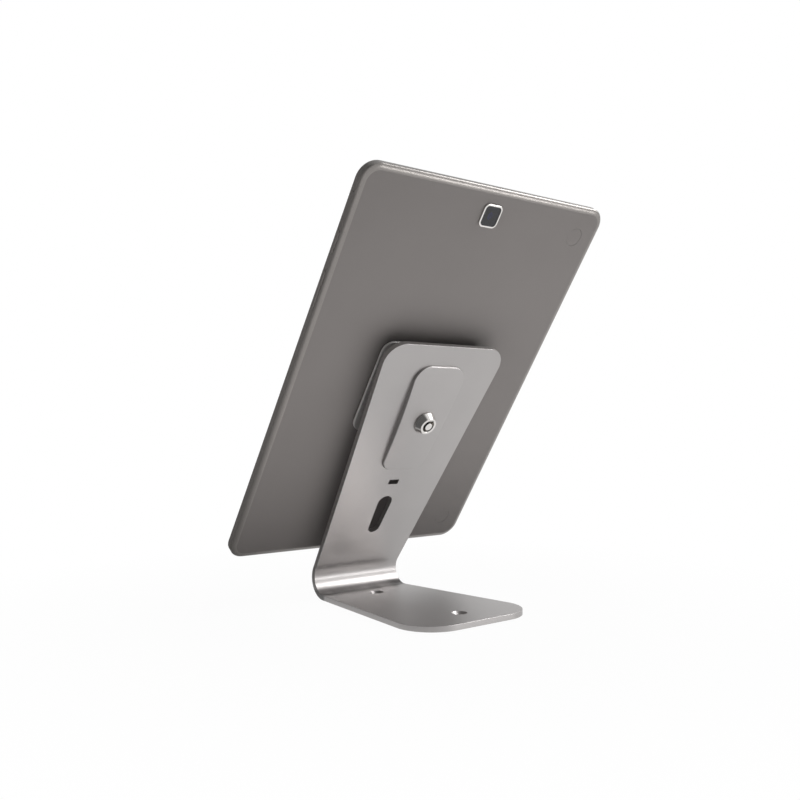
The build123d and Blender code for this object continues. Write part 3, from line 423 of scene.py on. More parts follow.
def reckoned(tree, operation, *values):
    """The result of one step of arithmetic."""
    step = add_node(tree, "ShaderNodeMath", dict(enumerate(values)), operation=operation)
    return step.outputs["Value"]


def reach_along(tree, place, way):
    """How far a place lies along a direction."""
    step = add_node(tree, "ShaderNodeVectorMath", {0: place, 1: way}, operation="DOT_PRODUCT")
    return step.outputs["Value"]


def from_point(tree, place, point):
    step = add_node(tree, "ShaderNodeVectorMath", {0: place, 1: point}, operation="SUBTRACT")
    return step.outputs["Vector"]


def noise(tree, place, size, detail, roughness=0.5):
    """Noise with blobs of about this size, in metres."""
    return add_node(tree, "ShaderNodeTexNoise", {
        "Vector": place, "Scale": 1 / size, "Detail": detail, "Roughness": roughness,
    }).outputs["Fac"]


def bumped(tree, height, depth):
    return add_node(tree, "ShaderNodeBump", {
        "Height": height, "Strength": 1.0, "Distance": depth,
    }).outputs["Normal"]


def new_material(name):
    material = bpy.data.materials.new(name)
    material.use_nodes = True
    material.node_tree.nodes.clear()
    return material, material.node_tree


def own_place(tree):
    """The place on the object, in metres, that patterns are drawn by."""
    return add_node(tree, "ShaderNodeTexCoord").outputs["Object"]


def surface(tree, shader):
    output = add_node(tree, "ShaderNodeOutputMaterial")
    tree.links.new(shader, output.inputs["Surface"])


def principled(tree, inputs):
    surface(tree, add_node(tree, "ShaderNodeBsdfPrincipled", inputs).outputs["BSDF"])


def grained(
    name, tint, metallic, roughness, grain, depth, variation=0.04, spread=0.05, marks=None, **sockets
):
    """A finish with a fine even grain: grain is its size in metres, depth its bump."""
    material, tree = new_material(name)
    place = own_place(tree)
    fine = noise(tree, place, grain, 2.0, 0.6)
    broad = noise(tree, place, BLOTCH, 3.0)
    tone = remapped(tree, broad, *NOISE_SPAN, 1 - variation, 1 + variation)
    # An optional multiplier of the tone: on the stand's sheet it brings the bend's line and a band of painted
    # shade.
    if marks:
        tone = reckoned(tree, "MULTIPLY", tone, marks(tree, place))
    toned = add_node(tree, "ShaderNodeVectorMath", {0: tint[:3], 1: tone}, operation="MULTIPLY")
    principled(tree, {
        "Base Color": toned.outputs["Vector"], "Metallic": metallic,
        "Roughness": remapped(tree, fine, *NOISE_SPAN, roughness - spread, roughness + spread),
        "Normal": bumped(tree, fine, depth), **sockets,
    })
    return material


def brushed(name, tint, roughness, line, depth, metallic=1.0):
    """Brushed metal: long fine lines across the piece, line metres apart."""
    material, tree = new_material(name)
    drawn_out = add_node(tree, "ShaderNodeMapping", {
        "Vector": own_place(tree), "Scale": (1 / LINE_STRETCH, 1.0, 1.0),
    }).outputs["Vector"]
    lines = noise(tree, drawn_out, line, 3.0, 0.6)
    principled(tree, {
        "Base Color": tint, "Metallic": metallic,
        "Roughness": remapped(tree, lines, *NOISE_SPAN, roughness * 0.8, roughness * 1.2),
        "Normal": bumped(tree, lines, depth),
    })
    return material


def bend_line_and_painted_shade(tree, place):
    """The press brake's faint line above the bend, and a painted shade: a darker band at the bend's foot that
    stands in for the dark reflection there.
    """
    sizes = bpy.context.scene.stand_sheet
    apart = add_node(tree, "ShaderNodeSeparateXYZ", {"Vector": place}).outputs
    wander = noise(tree, place, 9 * MM, 3.0)
    height = from_point(tree, place, lock_centre - up_arm * sizes.lock_height)
    level = remapped(tree, wander, *NOISE_SPAN, 0.6 * MM, 2.4 * MM)
    above = reckoned(tree, "SUBTRACT", reach_along(tree, height, up_arm), level)
    through = reach_along(tree, height, lock_axis)
    off = reckoned(
        tree, "ADD", reckoned(tree, "ABSOLUTE", above), reckoned(tree, "ABSOLUTE", through)
    )
    faint = remapped(tree, apart["X"], -24 * MM, -10 * MM, 1.0, 0.8, smooth=True)
    line = remapped(tree, off, 0.1 * MM, 1.9 * MM, faint, 1.0, smooth=True)
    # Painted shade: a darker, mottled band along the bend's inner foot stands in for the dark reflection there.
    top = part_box("stand_frame")[0].z + sizes.thickness
    front = bend_start()
    painted_shade_strip = reckoned(
        tree, "MULTIPLY",
        remapped(tree, apart["Z"], top + 1.2 * MM, top + 3.2 * MM, 1.0, 0.0, smooth=True),
        remapped(tree, apart["Y"], front - 0.5 * MM, front + 2.5 * MM, 1.0, 0.0, smooth=True),
    )
    painted_shade_strip = reckoned(tree, "MULTIPLY", painted_shade_strip, remapped(tree, wander, 0.35, 0.65, 0.45, 0.6))
    return reckoned(tree, "MULTIPLY", line, reckoned(tree, "SUBTRACT", 1.0, painted_shade_strip))


def blasted_anodised_aluminium():
    """Sheet aluminium, bead blasted and clear anodised: an even satin grey with a fine
    grain. The beads leave pits of about 0.1 mm, drawn at 0.22 mm so that they show."""
    tint = bpy.context.scene.stand_finishes.sheet
    # The tone also carries the bend's line and a band of painted shade at the bend's foot.
    return grained(
        "anodised_aluminium_bead_blasted", tint, 0.9, 0.38, 0.22 * MM, 0.004 * MM, marks=bend_line_and_painted_shade
    )


def blasted_casting():
    """Aluminium die casting, blasted and clear coated: a little softer than the sheet."""
    tint = bpy.context.scene.stand_finishes.cover
    return grained("aluminium_casting_blasted", tint, 0.93, 0.40, 0.25 * MM, 0.006 * MM)


def matt_polycarbonate():
    """Polycarbonate back, moulded with a fine matt texture: dry to the eye, with a faint
    sheen at grazing angles."""
    tint = bpy.context.scene.stand_finishes.back
    return grained(
        "polycarbonate_moulded_matt", tint, 0.0, 0.55, 0.2 * MM, 0.004 * MM, 0.02,
        **{"Specular IOR Level": 0.15},
    )


def satin_painted_edge():
    """The back's curved edge, painted with a metallic lacquer: it catches a bright line."""
    tint = bpy.context.scene.stand_finishes.edge
    return grained(
        "polycarbonate_metallic_lacquer", tint, 0.65, 0.3, 0.3 * MM, 0.001 * MM, 0.02, 0.03
    )


def dark_anodised_side():
    """Extruded aluminium side frame, fine blasted and dark anodised."""
    tint = bpy.context.scene.stand_finishes.side
    return grained("anodised_aluminium_dark", tint, 0.45, 0.42, 0.2 * MM, 0.003 * MM, 0.02)


def nickel_plate():
    """Machined brass, polished and nickel plated: a mirror with very faint turning marks."""
    tint = bpy.context.scene.stand_finishes.nickel
    return grained("nickel_plated_polished", tint, 1.0, 0.12, 0.5 * MM, 0.0006 * MM, 0.0, 0.03)


def brushed_stainless():
    """Stainless sheet, brushed one way and passivated: brighter than the stand's metal, and
    pale at its edge even where the mirrored room is dark."""
    tint = bpy.context.scene.stand_finishes.plate
    return brushed("stainless_brushed", tint, 0.4, 0.12 * MM, 0.002 * MM, 0.7)


def simple_finishes():
    """Finishes of the pieces kept as they are in the frame, by the record's slot."""
    made = {}
    # Brushed: slot, name, colour, roughness, distance between lines and depth in mm
    for slot, name, code, roughness, line, depth in (
        ("lock_steel", "steel_zinc_plated", "9C9DA0", 0.32, 0.2, 0.002),
        ("lock_brass", "brass_turned", "C8A25A", 0.28, 0.15, 0.002),
        ("tin", "steel_tinned", "B9B9B6", 0.3, 0.2, 0.002),
    ):
        made[slot] = brushed(name, colour(code), roughness, line * MM, depth * MM)
    # Grained: slot, name, colour, metallic, roughness, grain and depth in mm, variation, spread
    for slot, name, code, metallic, roughness, grain, depth, *more in (
        ("pad_rubber", "neoprene_die_cut", "262626", 0.0, 0.8, 0.6, 0.03),
        ("receiver_metal", "aluminium_casting_dark_anodised", "6C6B6A", 0.5, 0.5, 0.3, 0.01),
        ("adhesive_foam", "acrylic_foam_tape", "3A3938", 0.0, 0.85, 0.3, 0.03),
        ("chassis_metal", "magnesium_alloy_stamped", "A5A6A8", 1.0, 0.45, 0.4, 0.005),
        ("battery_foil", "pouch_cell_wrapped", "2B2B2E", 0.2, 0.4, 2, 0.02),
        ("board", "glass_epoxy_board", "1F5A3A", 0.0, 0.35, 0.3, 0.003),
        ("black_plastic", "nylon_moulded_black", "2A2A2A", 0.0, 0.5, 0.25, 0.005),
        ("camera_rim", "aluminium_diamond_cut", "E9E6E3", 1.0, 0.18, 0.2, 0.0005, 0.0, 0.04),
        ("key_metal", "aluminium_keys_dark_anodised", "807C79", 0.5, 0.36, 0.2, 0.003, 0.02),
        ("screen_panel", "display_module", "0A0A0C", 0.0, 0.3, 1, 0.001),
    ):
        made[slot] = grained(
            name, colour(code), metallic, roughness, grain * MM, depth * MM, *more
        )
    return made


def black_glass():
    """Aluminosilicate cover glass: a clear mirror over a black printed border, with the dark
    panel behind it a shade lighter."""
    sizes = bpy.context.scene.stand_tablet
    material, tree = new_material("cover_glass_black_printed")
    place = own_place(tree)
    away = from_point(tree, place, tablet_place().translation)
    inside = [
        reckoned(
            tree, "LESS_THAN", reckoned(tree, "ABSOLUTE", reach_along(tree, away, way)), half
        ) for way, half in ((across, sizes.screen_width / 2), (up_arm, sizes.screen_height / 2))
    ]
    shown = add_node(tree, "ShaderNodeMix", {
        "Factor": reckoned(tree, "MULTIPLY", *inside), "A": colour("0B0B0D"), "B": colour("1D1E22"),
    }, data_type="RGBA").outputs["Result"]
    smear = noise(tree, place, 25 * MM, 4.0, 0.6)
    principled(tree, {
        "Base Color": shown, "Roughness": remapped(tree, smear, 0.35, 0.7, 0.02, 0.07), "IOR": 1.5,
    })
    return material


def camera_cover_glass():
    """Camera window: clear glass with a grey tint over a black well."""
    material, tree = new_material("camera_window_tinted")
    principled(tree, {
        "Base Color": colour("5C5C64"), "Roughness": 0.03, "IOR": 1.5, "Transmission Weight": 1.0,
    })
    return material


def coated_lens():
    """Camera lens: dark glass with the blue-violet sheen of an antireflection coating."""
    material, tree = new_material("camera_lens_coated")
    principled(tree, {
        "Base Color": colour("4C63F0"), "Roughness": 0.4, "IOR": 1.7, "Metallic": 0.9,
        "Coat Weight": 0.6, "Coat Roughness": 0.03, "Coat Tint": colour("8C84FF"),
    })
    return material


# The stage

CAMERA_PLACE = (322.45, 393.74, 107.03)
CAMERA_TURNS = (141.64, -1.25, -0.12)
CAMERA_LENS = 40.30
FLOOR_HALF = 6.0
SHADE_WAY = (0.95, -0.31, 0.0)
SOFTBOX_WAY = (-1.0, 0.0, 0.0)
MIDDLE = (0, 0, 110)
# Lamps: name, place, size, power, aim, and whether matt surfaces and mirrors see them
LAMPS = (
    ("low_panel", (-130, 270, 4), (700, 520), 2.0, (-130, 270, 100), True, False),
    ("left_fill", (800, 120, 120), (400, 200), 2.6, MIDDLE, True, False),
    ("high_softbox", (-554, 374, 602), (330, 440), 4.0, MIDDLE, True, True),
    ("edge_softbox", (-560, 720, 45), (360, 80), 1.25, (0, 80, 200), False, True),
    ("top_softbox", (-533, 163, 689), (380, 240), 1.5, MIDDLE, False, True),
)


def aimed(position, back):
    """A matrix that looks away from a direction, upright."""
    return Matrix.Translation(position) @ back.to_track_quat("Z", "Y").to_matrix().to_4x4()


def ray_kinds(tree):
    """Whether a ray comes straight from the camera, and whether from a mirror."""
    ray = add_node(tree, "ShaderNodeLightPath").outputs
    seen = reckoned(tree, "MAXIMUM", ray["Is Camera Ray"], ray["Is Transmission Ray"])
    return seen, ray["Is Glossy Ray"]


class STAND_OT_stage(bpy.types.Operator):
    """Puts up the floor, the light and the camera"""
    bl_idname = "stand.stage"
    bl_label = "Stage"

    def execute(self, context):
        self.camera()
        self.floor()
        self.world()
        for settings in LAMPS:
            self.lamp(*settings)
        context.scene.view_settings.view_transform = "Standard"
        return {"FINISHED"}

    def camera(self):
        azimuth, elevation, roll = (math.radians(turn) for turn in CAMERA_TURNS)
        back = Vector((
            math.sin(azimuth) * math.cos(elevation),
            -math.cos(azimuth) * math.cos(elevation),
            math.sin(elevation),
        ))
        lens = bpy.data.cameras.new("camera")
        lens.sensor_width = 36.0
        lens.lens = CAMERA_LENS
        lens.clip_start = 10 * MM
        camera = bpy.data.objects.new("camera", lens)
        bpy.context.scene.collection.objects.link(camera)
        roll = Matrix.Rotation(roll, 4, "Z")
        camera.matrix_world = aimed(Vector(CAMERA_PLACE) * MM, back) @ roll
        bpy.context.scene.camera = camera

    def floor(self):
        shape = bmesh.new()
        bmesh.ops.create_grid(shape, x_segments=1, y_segments=1, size=FLOOR_HALF)
        floor = loose_object(shape, "floor")
        material, tree = new_material("floor_pale_paper")
        place = own_place(tree)
        seen, mirrored = ray_kinds(tree)
        away = add_node(tree, "ShaderNodeVectorMath", {0: place}, operation="LENGTH").outputs["Value"]
        plain = remapped(tree, away, 100 * MM, 300 * MM, 0.97, 1.0)
        share = reckoned(tree, "MAXIMUM", reckoned(tree, "MULTIPLY", seen, plain), mirrored)
        # A mirror sees the floor white on the softbox's side and in shade on the other.
        shade = reach_along(tree, place, SHADE_WAY)
        lit = remapped(tree, shade, 20 * MM, 120 * MM, 1.0, 0.12, smooth=True)
        tint = bpy.context.scene.stand_finishes.floor
        matt = add_node(tree, "ShaderNodeBsdfDiffuse", {"Color": tint})
        white = add_node(tree, "ShaderNodeEmission", {
            "Color": colour("FFFFFF"), "Strength": reckoned(tree, "MAXIMUM", lit, seen),
        })
        mixed = add_node(tree, "ShaderNodeMixShader", {
            0: share, 1: matt.outputs["BSDF"], 2: white.outputs["Emission"],
        })
        surface(tree, mixed.outputs["Shader"])
        floor.data.materials.append(material)

    def world(self):
        world = bpy.data.worlds.new("studio")
        world.use_nodes = True
        tree = world.node_tree
        tree.nodes.clear()
        seen, mirrored = ray_kinds(tree)
        way = add_node(tree, "ShaderNodeTexCoord").outputs["Generated"]
        # A mirror sees a white horizon on the softbox's side, and the rest of the room in shade.
        height = add_node(tree, "ShaderNodeSeparateXYZ", {"Vector": way}).outputs["Z"]
        height = remapped(tree, height, 0.05, 0.7, 0.95, 1.0, smooth=True)
        side = reach_along(tree, way, SOFTBOX_WAY)
        side = remapped(tree, side, -0.35, 0.15, 0.13, 1.0, smooth=True)
        room, horizon, white = (
            add_node(tree, "ShaderNodeBackground", {
                "Color": colour("FFFFFF"), "Strength": strength,
            }).outputs["Background"]
            for strength in (0.03, reckoned(tree, "MULTIPLY", height, side), 1.0)
        )
        lit = add_node(tree, "ShaderNodeMixShader", {0: mirrored, 1: room, 2: horizon})
        mixed = add_node(tree, "ShaderNodeMixShader", {0: seen, 1: lit.outputs["Shader"], 2: white})
        output = add_node(tree, "ShaderNodeOutputWorld")
        tree.links.new(mixed.outputs["Shader"], output.inputs["Surface"])
        bpy.context.scene.world = world

    def lamp(self, name, place, size, power, aim, on_matt, in_mirrors):
        light = bpy.data.lights.new(name, "AREA")
        light.shape = "RECTANGLE"
        light.size, light.size_y = size[0] * MM, size[1] * MM
        light.energy = power
        lamp = bpy.data.objects.new(name, light)
        bpy.context.scene.collection.objects.link(lamp)
        position = Vector(place) * MM
        lamp.matrix_world = aimed(position, position - Vector(aim) * MM)
        lamp.visible_camera = False
        lamp.visible_diffuse = on_matt
        lamp.visible_glossy = in_mirrors


# The stand

class STAND_OT_sheet(bpy.types.Operator):
    """Bends the sheet of the base and the arm, and cuts its holes and slots"""
    bl_idname = "stand.sheet"
    bl_label = "Stand sheet"

    def execute(self, context):
        sizes = context.scene.stand_sheet
        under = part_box("stand_frame")[0].z
        front = bend_start()
        centre = Vector((0, front, under + sizes.thickness + sizes.bend_radius))
        half = sizes.neck / 2
        shape = bmesh.new()
        ring = [
            shape.verts.new((side * half, front, z))
            for side, z in (
                (-1, under), (1, under), (1, under + sizes.thickness), (-1, under + sizes.thickness)
            )
        ]
        edges = [shape.edges.new(pair) for pair in zip(ring, ring[1:] + ring[:1])]
        self.leaf(shape, edges, Vector((0, 1, 0)), sizes.base_length, sizes.base_width, sizes.base_round)
        bent = bmesh.ops.spin(
            shape, geom=ring + edges, cent=centre, axis=(1, 0, 0), angle=sizes.tilt - math.pi,
            steps=sizes.bend_steps, use_merge=False, use_normal_flip=False, use_duplicate=False,
        )["geom_last"]
        edges = [item for item in bent if isinstance(item, bmesh.types.BMEdge)]
        self.leaf(shape, edges, up_arm, sizes.arm_length, sizes.arm_width, sizes.arm_round)
        bmesh.ops.remove_doubles(shape, verts=shape.verts[:], dist=MERGE)
        bmesh.ops.recalc_face_normals(shape, faces=shape.faces[:])
        softened(shape, sharp_edges(shape), sizes.edge)
        piece = loose_object(shape, "bent_sheet")
        cut_away(piece, self.base_cutter(under), self.arm_cutter())
        shape = bmesh.new()
        shape.from_mesh(piece.data)
        softened(shape, sharp_edges(shape), sizes.rim, 2)
        shape.to_mesh(piece.data)
        shape.free()
        finished(piece, "stand", ["stand_frame"], [blasted_anodised_aluminium()])
        return {"FINISHED"}

    def leaf(self, shape, edges, way, reach, width, corner):
        """Draws the neck's section out to a leaf that widens, and rounds its two corners."""
        sizes = bpy.context.scene.stand_sheet
        made = bmesh.ops.extrude_edge_only(shape, edges=edges)["geom"]
        verts = [item for item in made if isinstance(item, bmesh.types.BMVert)]
        rim = [item for item in made if isinstance(item, bmesh.types.BMEdge)
               and all(vert in verts for vert in item.verts)]
        bmesh.ops.translate(shape, verts=verts, vec=way * reach)
        bmesh.ops.scale(shape, verts=verts, vec=(width / sizes.neck, 1, 1))
        bmesh.ops.contextual_create(shape, geom=rim)
        flare = math.atan((width - sizes.neck) / 2 / reach)
        inner = math.pi / 2 - flare
        corners = [edge for edge in rim if abs(edge.verts[0].co.x - edge.verts[1].co.x) < MM]
        bmesh.ops.bevel(
            shape, geom=corners, offset=corner / math.tan(inner / 2), offset_type="OFFSET",
            segments=sizes.round_steps, profile=0.5, affect="EDGES", clamp_overlap=False,
            material=-1,
        )

    def base_cutter(self, under):
        sizes = bpy.context.scene.stand_sheet
        top = under + sizes.thickness
        shape = bmesh.new()
        for end in (-1, 1):
            turned(shape, [
                (0, under - OVERRUN),
                (sizes.hole, under - OVERRUN),
                (sizes.hole, top - (sizes.sink - sizes.hole)),
                (sizes.sink + OVERRUN, top + OVERRUN),
                (0, top + OVERRUN),
            ], HOLE_STEPS, (0, end * sizes.hole_spacing / 2, 0))
        return loose_object(shape, "base_cutter")

    def arm_cutter(self):
        sizes = bpy.context.scene.stand_sheet
        lock = bpy.context.scene.stand_lock
        low, high = -OVERRUN, sizes.thickness + OVERRUN
        shape = bmesh.new()
        lock_slot = rounded_corners(sizes.slot_width, sizes.slot_depth, 0, sizes.slot_height)
        slab(shape, lock_slot, [sizes.slot_round] * 4, 6, low, high)
        stretched(shape, [
            (sizes.cable_low, sizes.cable_low_round),
            (sizes.cable_low + sizes.cable_rise, sizes.cable_high_round),
        ], low, high)
        lock_hole = rounded_corners(lock.barrel_flats, 2 * lock.barrel, 0, sizes.lock_height)
        slab(shape, lock_hole, [lock.barrel / 2] * 4, 8, low, high)
        for x, y in ((x, y) for x in (-sizes.screw_across, sizes.screw_across)
                     for y in (sizes.screw_low, sizes.screw_high)):
            turned(shape, [
                (0, low), (sizes.screw_head + OVERRUN, low),
                (sizes.screw, sizes.screw_head - sizes.screw), (sizes.screw, high), (0, high),
            ], 32, (x, y, 0))
        return loose_object(shape, "arm_cutter", arm_place())


class STAND_OT_lock_cover(bpy.types.Operator):
    """Makes the crowned cover on the arm's back"""
    bl_idname = "stand.lock_cover"
    bl_label = "Lock cover"

    def execute(self, context):
        sizes = context.scene.stand_cover
        lock = context.scene.stand_lock
        self.middle = sizes.bottom + sizes.tall / 2
        rise = sizes.crown - sizes.end_height
        self.radius = ((sizes.tall / 2) ** 2 + rise ** 2) / (2 * rise)
        top = sizes.bottom + sizes.tall
        shape = bmesh.new()
        corners = [
            (-sizes.low_width / 2, sizes.bottom), (sizes.low_width / 2, sizes.bottom),
            (sizes.high_width / 2, top), (-sizes.high_width / 2, top),
        ]
        rounds = [sizes.low_round, sizes.low_round, sizes.high_round, sizes.high_round]
        slab(shape, corners, rounds, 16, 0, -sizes.crown)
        rim = [edge for edge in sharp_edges(shape)
               if all(vert.co.z < NEAR - sizes.crown for vert in edge.verts)]
        softened(shape, rim, sizes.edge, 4)
        self.sliced(shape)
        for vert in shape.verts:
            if vert.co.z < -NEAR:
                vert.co.z += sizes.crown - self.height(vert.co)
        shape.normal_update()
        self.hollowed(shape)
        piece = loose_object(shape, "lock_cover_shell", arm_place())
        cutter = bmesh.new()
        turned(cutter, [
            (0, OVERRUN), (lock.barrel + lock.gap * 3, OVERRUN),
            (lock.barrel + lock.gap * 3, lock.seat - sizes.crown),
            (lock.bezel + lock.gap * 4, lock.seat - sizes.crown),
            (lock.bezel + lock.gap * 4, -sizes.crown - OVERRUN), (0, -sizes.crown - OVERRUN),
        ], lock.steps, (0, self.middle, 0))
        cut_away(piece, loose_object(cutter, "cover_cutter", arm_place()))
        finished(piece, "stand", ["lock_cover"], [blasted_casting()])
        return {"FINISHED"}

    def sliced(self, shape):
        """Slices the cover both ways, so that it can be crowned."""
        sizes = bpy.context.scene.stand_cover
        planes = [
            ((0, sizes.bottom + sizes.tall * step / sizes.slices, 0), (0, 1, 0))
            for step in range(1, sizes.slices)
        ]
        planes += [
            ((sizes.high_width * (step / sizes.cross_slices - 0.5), 0, 0), (1, 0, 0))
            for step in range(1, sizes.cross_slices)
        ]
        for point, way in planes:
            bmesh.ops.bisect_plane(
                shape, geom=shape.verts[:] + shape.edges[:] + shape.faces[:], dist=MERGE,
                plane_co=point, plane_no=way,
            )

    def height(self, place):
        """The crown's height above the sheet: an arc along the arm that falls to the sides."""
        sizes = bpy.context.scene.stand_cover
        reach = min(abs(place.y - self.middle), sizes.tall / 2)
        rise = sizes.crown - self.radius + math.sqrt(self.radius ** 2 - reach ** 2) - sizes.end_height
        share = (place.y - sizes.bottom) / sizes.tall
        half = (sizes.low_width + (sizes.high_width - sizes.low_width) * share) / 2
        side = min(abs(place.x) / half, 1.0)
        return sizes.end_height + rise * (1 - sizes.side_fall * side ** 2)

    def hollowed(self, shape):
        """Sinks the underside to leave a wall of even thickness."""
        sizes = bpy.context.scene.stand_cover
        under = [face for face in shape.faces if abs(face.calc_center_median().z) < NEAR]
        bmesh.ops.inset_region(
            shape, faces=under, thickness=sizes.wall, use_even_offset=True, use_boundary=True
        )
        made = bmesh.ops.extrude_face_region(shape, geom=under)["geom"]
        bmesh.ops.delete(shape, geom=[face for face in under if face.is_valid], context="FACES_ONLY")
        for item in made:
            if isinstance(item, bmesh.types.BMVert):
                item.co.z = -max(self.height(item.co) - sizes.wall, sizes.edge / 2)
        bmesh.ops.recalc_face_normals(shape, faces=shape.faces[:])


class STAND_OT_lock(bpy.types.Operator):
    """Turns the lock's housing and its plug"""
    bl_idname = "stand.lock"
    bl_label = "Key lock"

    def execute(self, context):
        sizes = context.scene.stand_lock
        cover = context.scene.stand_cover
        sheet = context.scene.stand_sheet
        metal = nickel_plate()
        centre = (0, sheet.lock_height, 0)
        face = -(cover.crown + sizes.height)
        seat = sizes.seat - cover.crown
        floor = face + sizes.keyway_depth
        tail = sheet.thickness + sizes.barrel_tail
        housing = bmesh.new()
        turned(housing, [
            (sizes.keyway, face),
            (sizes.face, face),
            (sizes.bezel, seat - sizes.seat - sizes.rim),
            (sizes.bezel, seat),
            (sizes.barrel, seat),
            (sizes.barrel, tail),
            (sizes.bore, tail),
            (sizes.bore, floor),
            (sizes.keyway, floor),
        ], sizes.steps, centre)
        softened(housing, sharp_edges(housing, math.radians(25)), sizes.edge, 3)
        piece = loose_object(housing, "lock_barrel", arm_place())
        notch = bmesh.new()
        reach = sizes.keyway + sizes.notch_depth
        outline = rounded_corners(reach, sizes.notch_width, reach / 2)
        slab(notch, outline, [0] * 4, 1, face - OVERRUN, floor)
        turn = Matrix.Rotation(math.pi - sizes.notch_turn, 4, "Z")
        place = arm_place() @ Matrix.Translation(centre) @ turn
        cut_away(piece, loose_object(notch, "notch", place))
        finished(piece, "stand", ["lock_housing"], [metal])
        plug = bmesh.new()
        start = floor + sizes.gap
        stop = start + sizes.disc
        turned(plug, [
            (0, face - sizes.post_rise),
            (sizes.post, face - sizes.post_rise),
            (sizes.post, start),
            (sizes.bore - sizes.gap, start),
            (sizes.bore - sizes.gap, stop),
            (sizes.shaft, stop),
            (sizes.shaft, tail),
            (0, tail),
        ], sizes.steps, centre)
        softened(plug, sharp_edges(plug), sizes.edge / 2, 3)
        square = rounded_corners(sizes.square, sizes.square, 0, sheet.lock_height)
        slab(plug, square, [0] * 4, 1, tail, front_of("lock_cam"))
        piece = loose_object(plug, "lock_plug_turned", arm_place())
        finished(piece, "lock_spindle", ["lock_plug"], [metal])
        return {"FINISHED"}


# The tablet

class STAND_OT_tablet_back(bpy.types.Operator):
    """Moulds the tablet's back with its curved edge"""
    bl_idname = "stand.tablet_back"
    bl_label = "Tablet back"
    # Share of the edge's depth that is curved, and the height under which a face is edge
    curved = 0.96
    edge_share = 0.99

    def execute(self, context):
        sizes = context.scene.stand_tablet
        shape = bmesh.new()
        corners = rounded_corners(sizes.width, sizes.height)
        faces = outlined(shape, corners, [sizes.corner] * 4, sizes.round_steps)
        made = bmesh.ops.extrude_face_region(shape, geom=faces)["geom"]
        back = [item for item in made if isinstance(item, bmesh.types.BMFace)]
        verts = list({vert for face in faces for vert in face.verts})
        bmesh.ops.translate(shape, verts=verts, vec=(0, 0, sizes.edge_depth))
        verts = list({vert for face in back for vert in face.verts})
        bmesh.ops.translate(shape, verts=verts, vec=(0, 0, sizes.edge_depth * self.curved))
        bmesh.ops.recalc_face_normals(shape, faces=shape.faces[:])
        self.curve_edge(shape, back)
        bmesh.ops.inset_region(shape, faces=faces, thickness=sizes.side_wall, use_even_offset=True)
        bmesh.ops.inset_region(shape, faces=faces, thickness=NEAR, use_even_offset=True)
        inner = list({vert for face in faces for vert in face.verts})
        bmesh.ops.translate(shape, verts=inner, vec=(0, 0, sizes.wall - sizes.edge_depth))
        bmesh.ops.recalc_face_normals(shape, faces=shape.faces[:])
        piece = loose_object(shape, "tablet_back_shell", tablet_place())
        cutter = bmesh.new()
        window = rounded_corners(sizes.camera_hole, sizes.camera_hole, 0, sizes.camera_rise)
        slab(cutter, window, [sizes.camera_round] * 4, 8, -OVERRUN, OVERRUN)
        for end in (-1, 1):
            turned(cutter, [
                (0, -OVERRUN), (sizes.latch, -OVERRUN), (sizes.latch, OVERRUN), (0, OVERRUN),
            ], HOLE_STEPS, (-sizes.latch_side, end * sizes.latch_rise, 0))
        cut_away(piece, loose_object(cutter, "back_cutter", tablet_place()))
        finishes = [matt_polycarbonate(), satin_painted_edge()]
        finished(piece, "tablet", ["back_cover"], finishes)
        self.paint_edge(piece)
        return {"FINISHED"}

    def paint_edge(self, piece):
        """Gives the edge's faces the second finish: those outside a smaller rounded outline."""
        sizes = bpy.context.scene.stand_tablet
        place = tablet_place().inverted()
        corner = sizes.corner - sizes.edge_width
        halves = (sizes.width / 2 - sizes.edge_width, sizes.height / 2 - sizes.edge_width)
        for face in piece.data.polygons:
            centre = place @ face.center
            past = math.hypot(*(
                max(abs(reach) - half + corner, 0) for reach, half in zip(centre.xy, halves)
            ))
            on_edge = centre.z < sizes.edge_depth * self.edge_share
            face.material_index = int(past > corner and on_edge)

    def curve_edge(self, shape, back):
        """Steps the back inwards and outwards along a quarter of an ellipse."""
        sizes = bpy.context.scene.stand_tablet
        start = sizes.edge_depth * self.curved
        last_in, last_z = 0.0, start
        flat, bowed = sizes.edge_flat, 1 - sizes.edge_flat
        for step in range(1, sizes.edge_steps + 1):
            share = step / sizes.edge_steps
            turn = math.pi / 2 * share
            inward = sizes.edge_width * (share * flat + (1 - math.cos(turn)) * bowed)
            z = start * (1 - share * flat - math.sin(turn) * bowed)
            bmesh.ops.inset_region(
                shape, faces=back, thickness=inward - last_in, depth=last_z - z, use_even_offset=True
            )
            last_in, last_z = inward, z


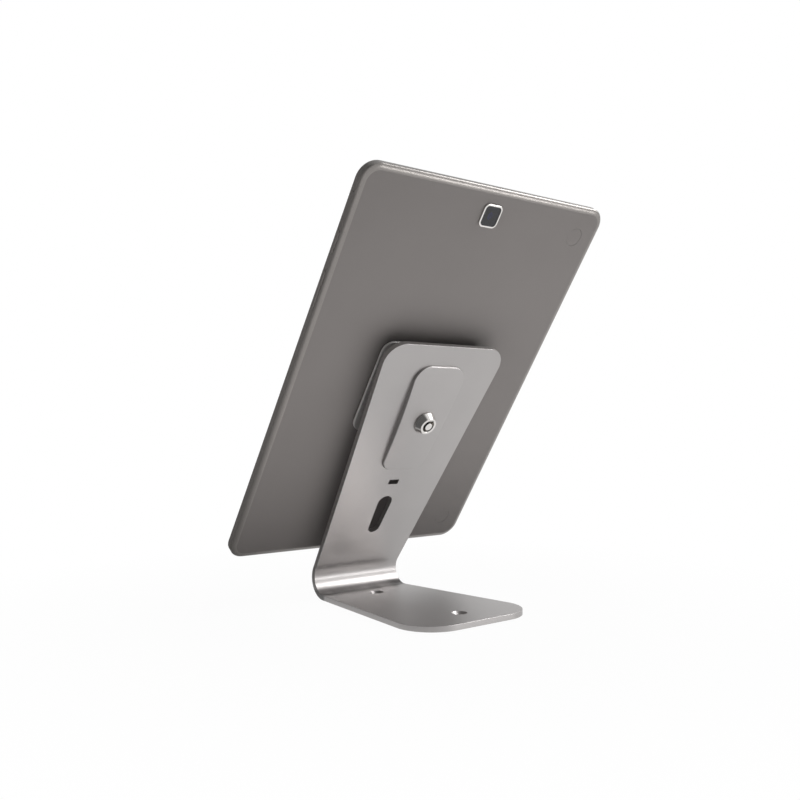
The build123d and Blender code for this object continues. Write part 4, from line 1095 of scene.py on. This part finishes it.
class STAND_OT_kept_pieces(bpy.types.Operator):
    """Gives the pieces that keep their shape from the frame their finishes"""
    bl_idname = "stand.kept_pieces"
    bl_label = "Kept pieces"

    def execute(self, context):
        finishes = simple_finishes()
        finishes["plate_steel"] = brushed_stainless()
        finishes["tablet_frame"] = dark_anodised_side()
        finishes["screen_glass"] = black_glass()
        finishes["camera_cover"] = camera_cover_glass()
        finishes["tablet_back"] = bpy.data.materials["polycarbonate_moulded_matt"]
        for entry in frame["record"]["subparts"]:
            node = frame["nodes"][entry["node"]]
            if node.hide_render:
                continue
            finish = finishes[entry["material_slot"]]
            if entry["node"] == "camera_lens":
                finish = coated_lens()
            node.data.materials.clear()
            node.data.materials.append(finish)
        return {"FINISHED"}


class STAND_PT_panel(bpy.types.Panel):
    """Lists the steps that build the stand"""
    bl_idname = "STAND_PT_panel"
    bl_label = "Locking tablet stand"
    bl_space_type = "VIEW_3D"
    bl_region_type = "UI"
    bl_category = "Stand"

    def draw(self, context):
        for operator in operators:
            self.layout.operator(operator.bl_idname)
        for name in groups:
            box = self.layout.box()
            box.label(text=name.replace("_", " ").capitalize())
            holder = getattr(context.scene, name)
            for prop in holder.bl_rna.properties:
                if prop.identifier in type(holder).__annotations__:
                    box.prop(holder, prop.identifier)


groups = {
    "stand_sheet": SheetSizes,
    "stand_cover": CoverSizes,
    "stand_lock": LockSizes,
    "stand_tablet": TabletSizes,
    "stand_finishes": Finishes,
}
operators = (
    STAND_OT_stage,
    STAND_OT_sheet,
    STAND_OT_lock_cover,
    STAND_OT_lock,
    STAND_OT_tablet_back,
    STAND_OT_kept_pieces,
)


def register():
    for group in groups.values():
        bpy.utils.register_class(group)
    for name, group in groups.items():
        setattr(bpy.types.Scene, name, PointerProperty(type=group))
    for operator in operators:
        bpy.utils.register_class(operator)
    bpy.utils.register_class(STAND_PT_panel)


def unregister():
    bpy.utils.unregister_class(STAND_PT_panel)
    for operator in reversed(operators):
        bpy.utils.unregister_class(operator)
    for name in groups:
        delattr(bpy.types.Scene, name)
    for group in reversed(list(groups.values())):
        bpy.utils.unregister_class(group)


def main():
    register()
    bpy.ops.stand.stage()
    bpy.ops.stand.sheet()
    bpy.ops.stand.lock_cover()
    bpy.ops.stand.lock()
    bpy.ops.stand.tablet_back()
    bpy.ops.stand.kept_pieces()


if __name__ == "__main__":
    main()
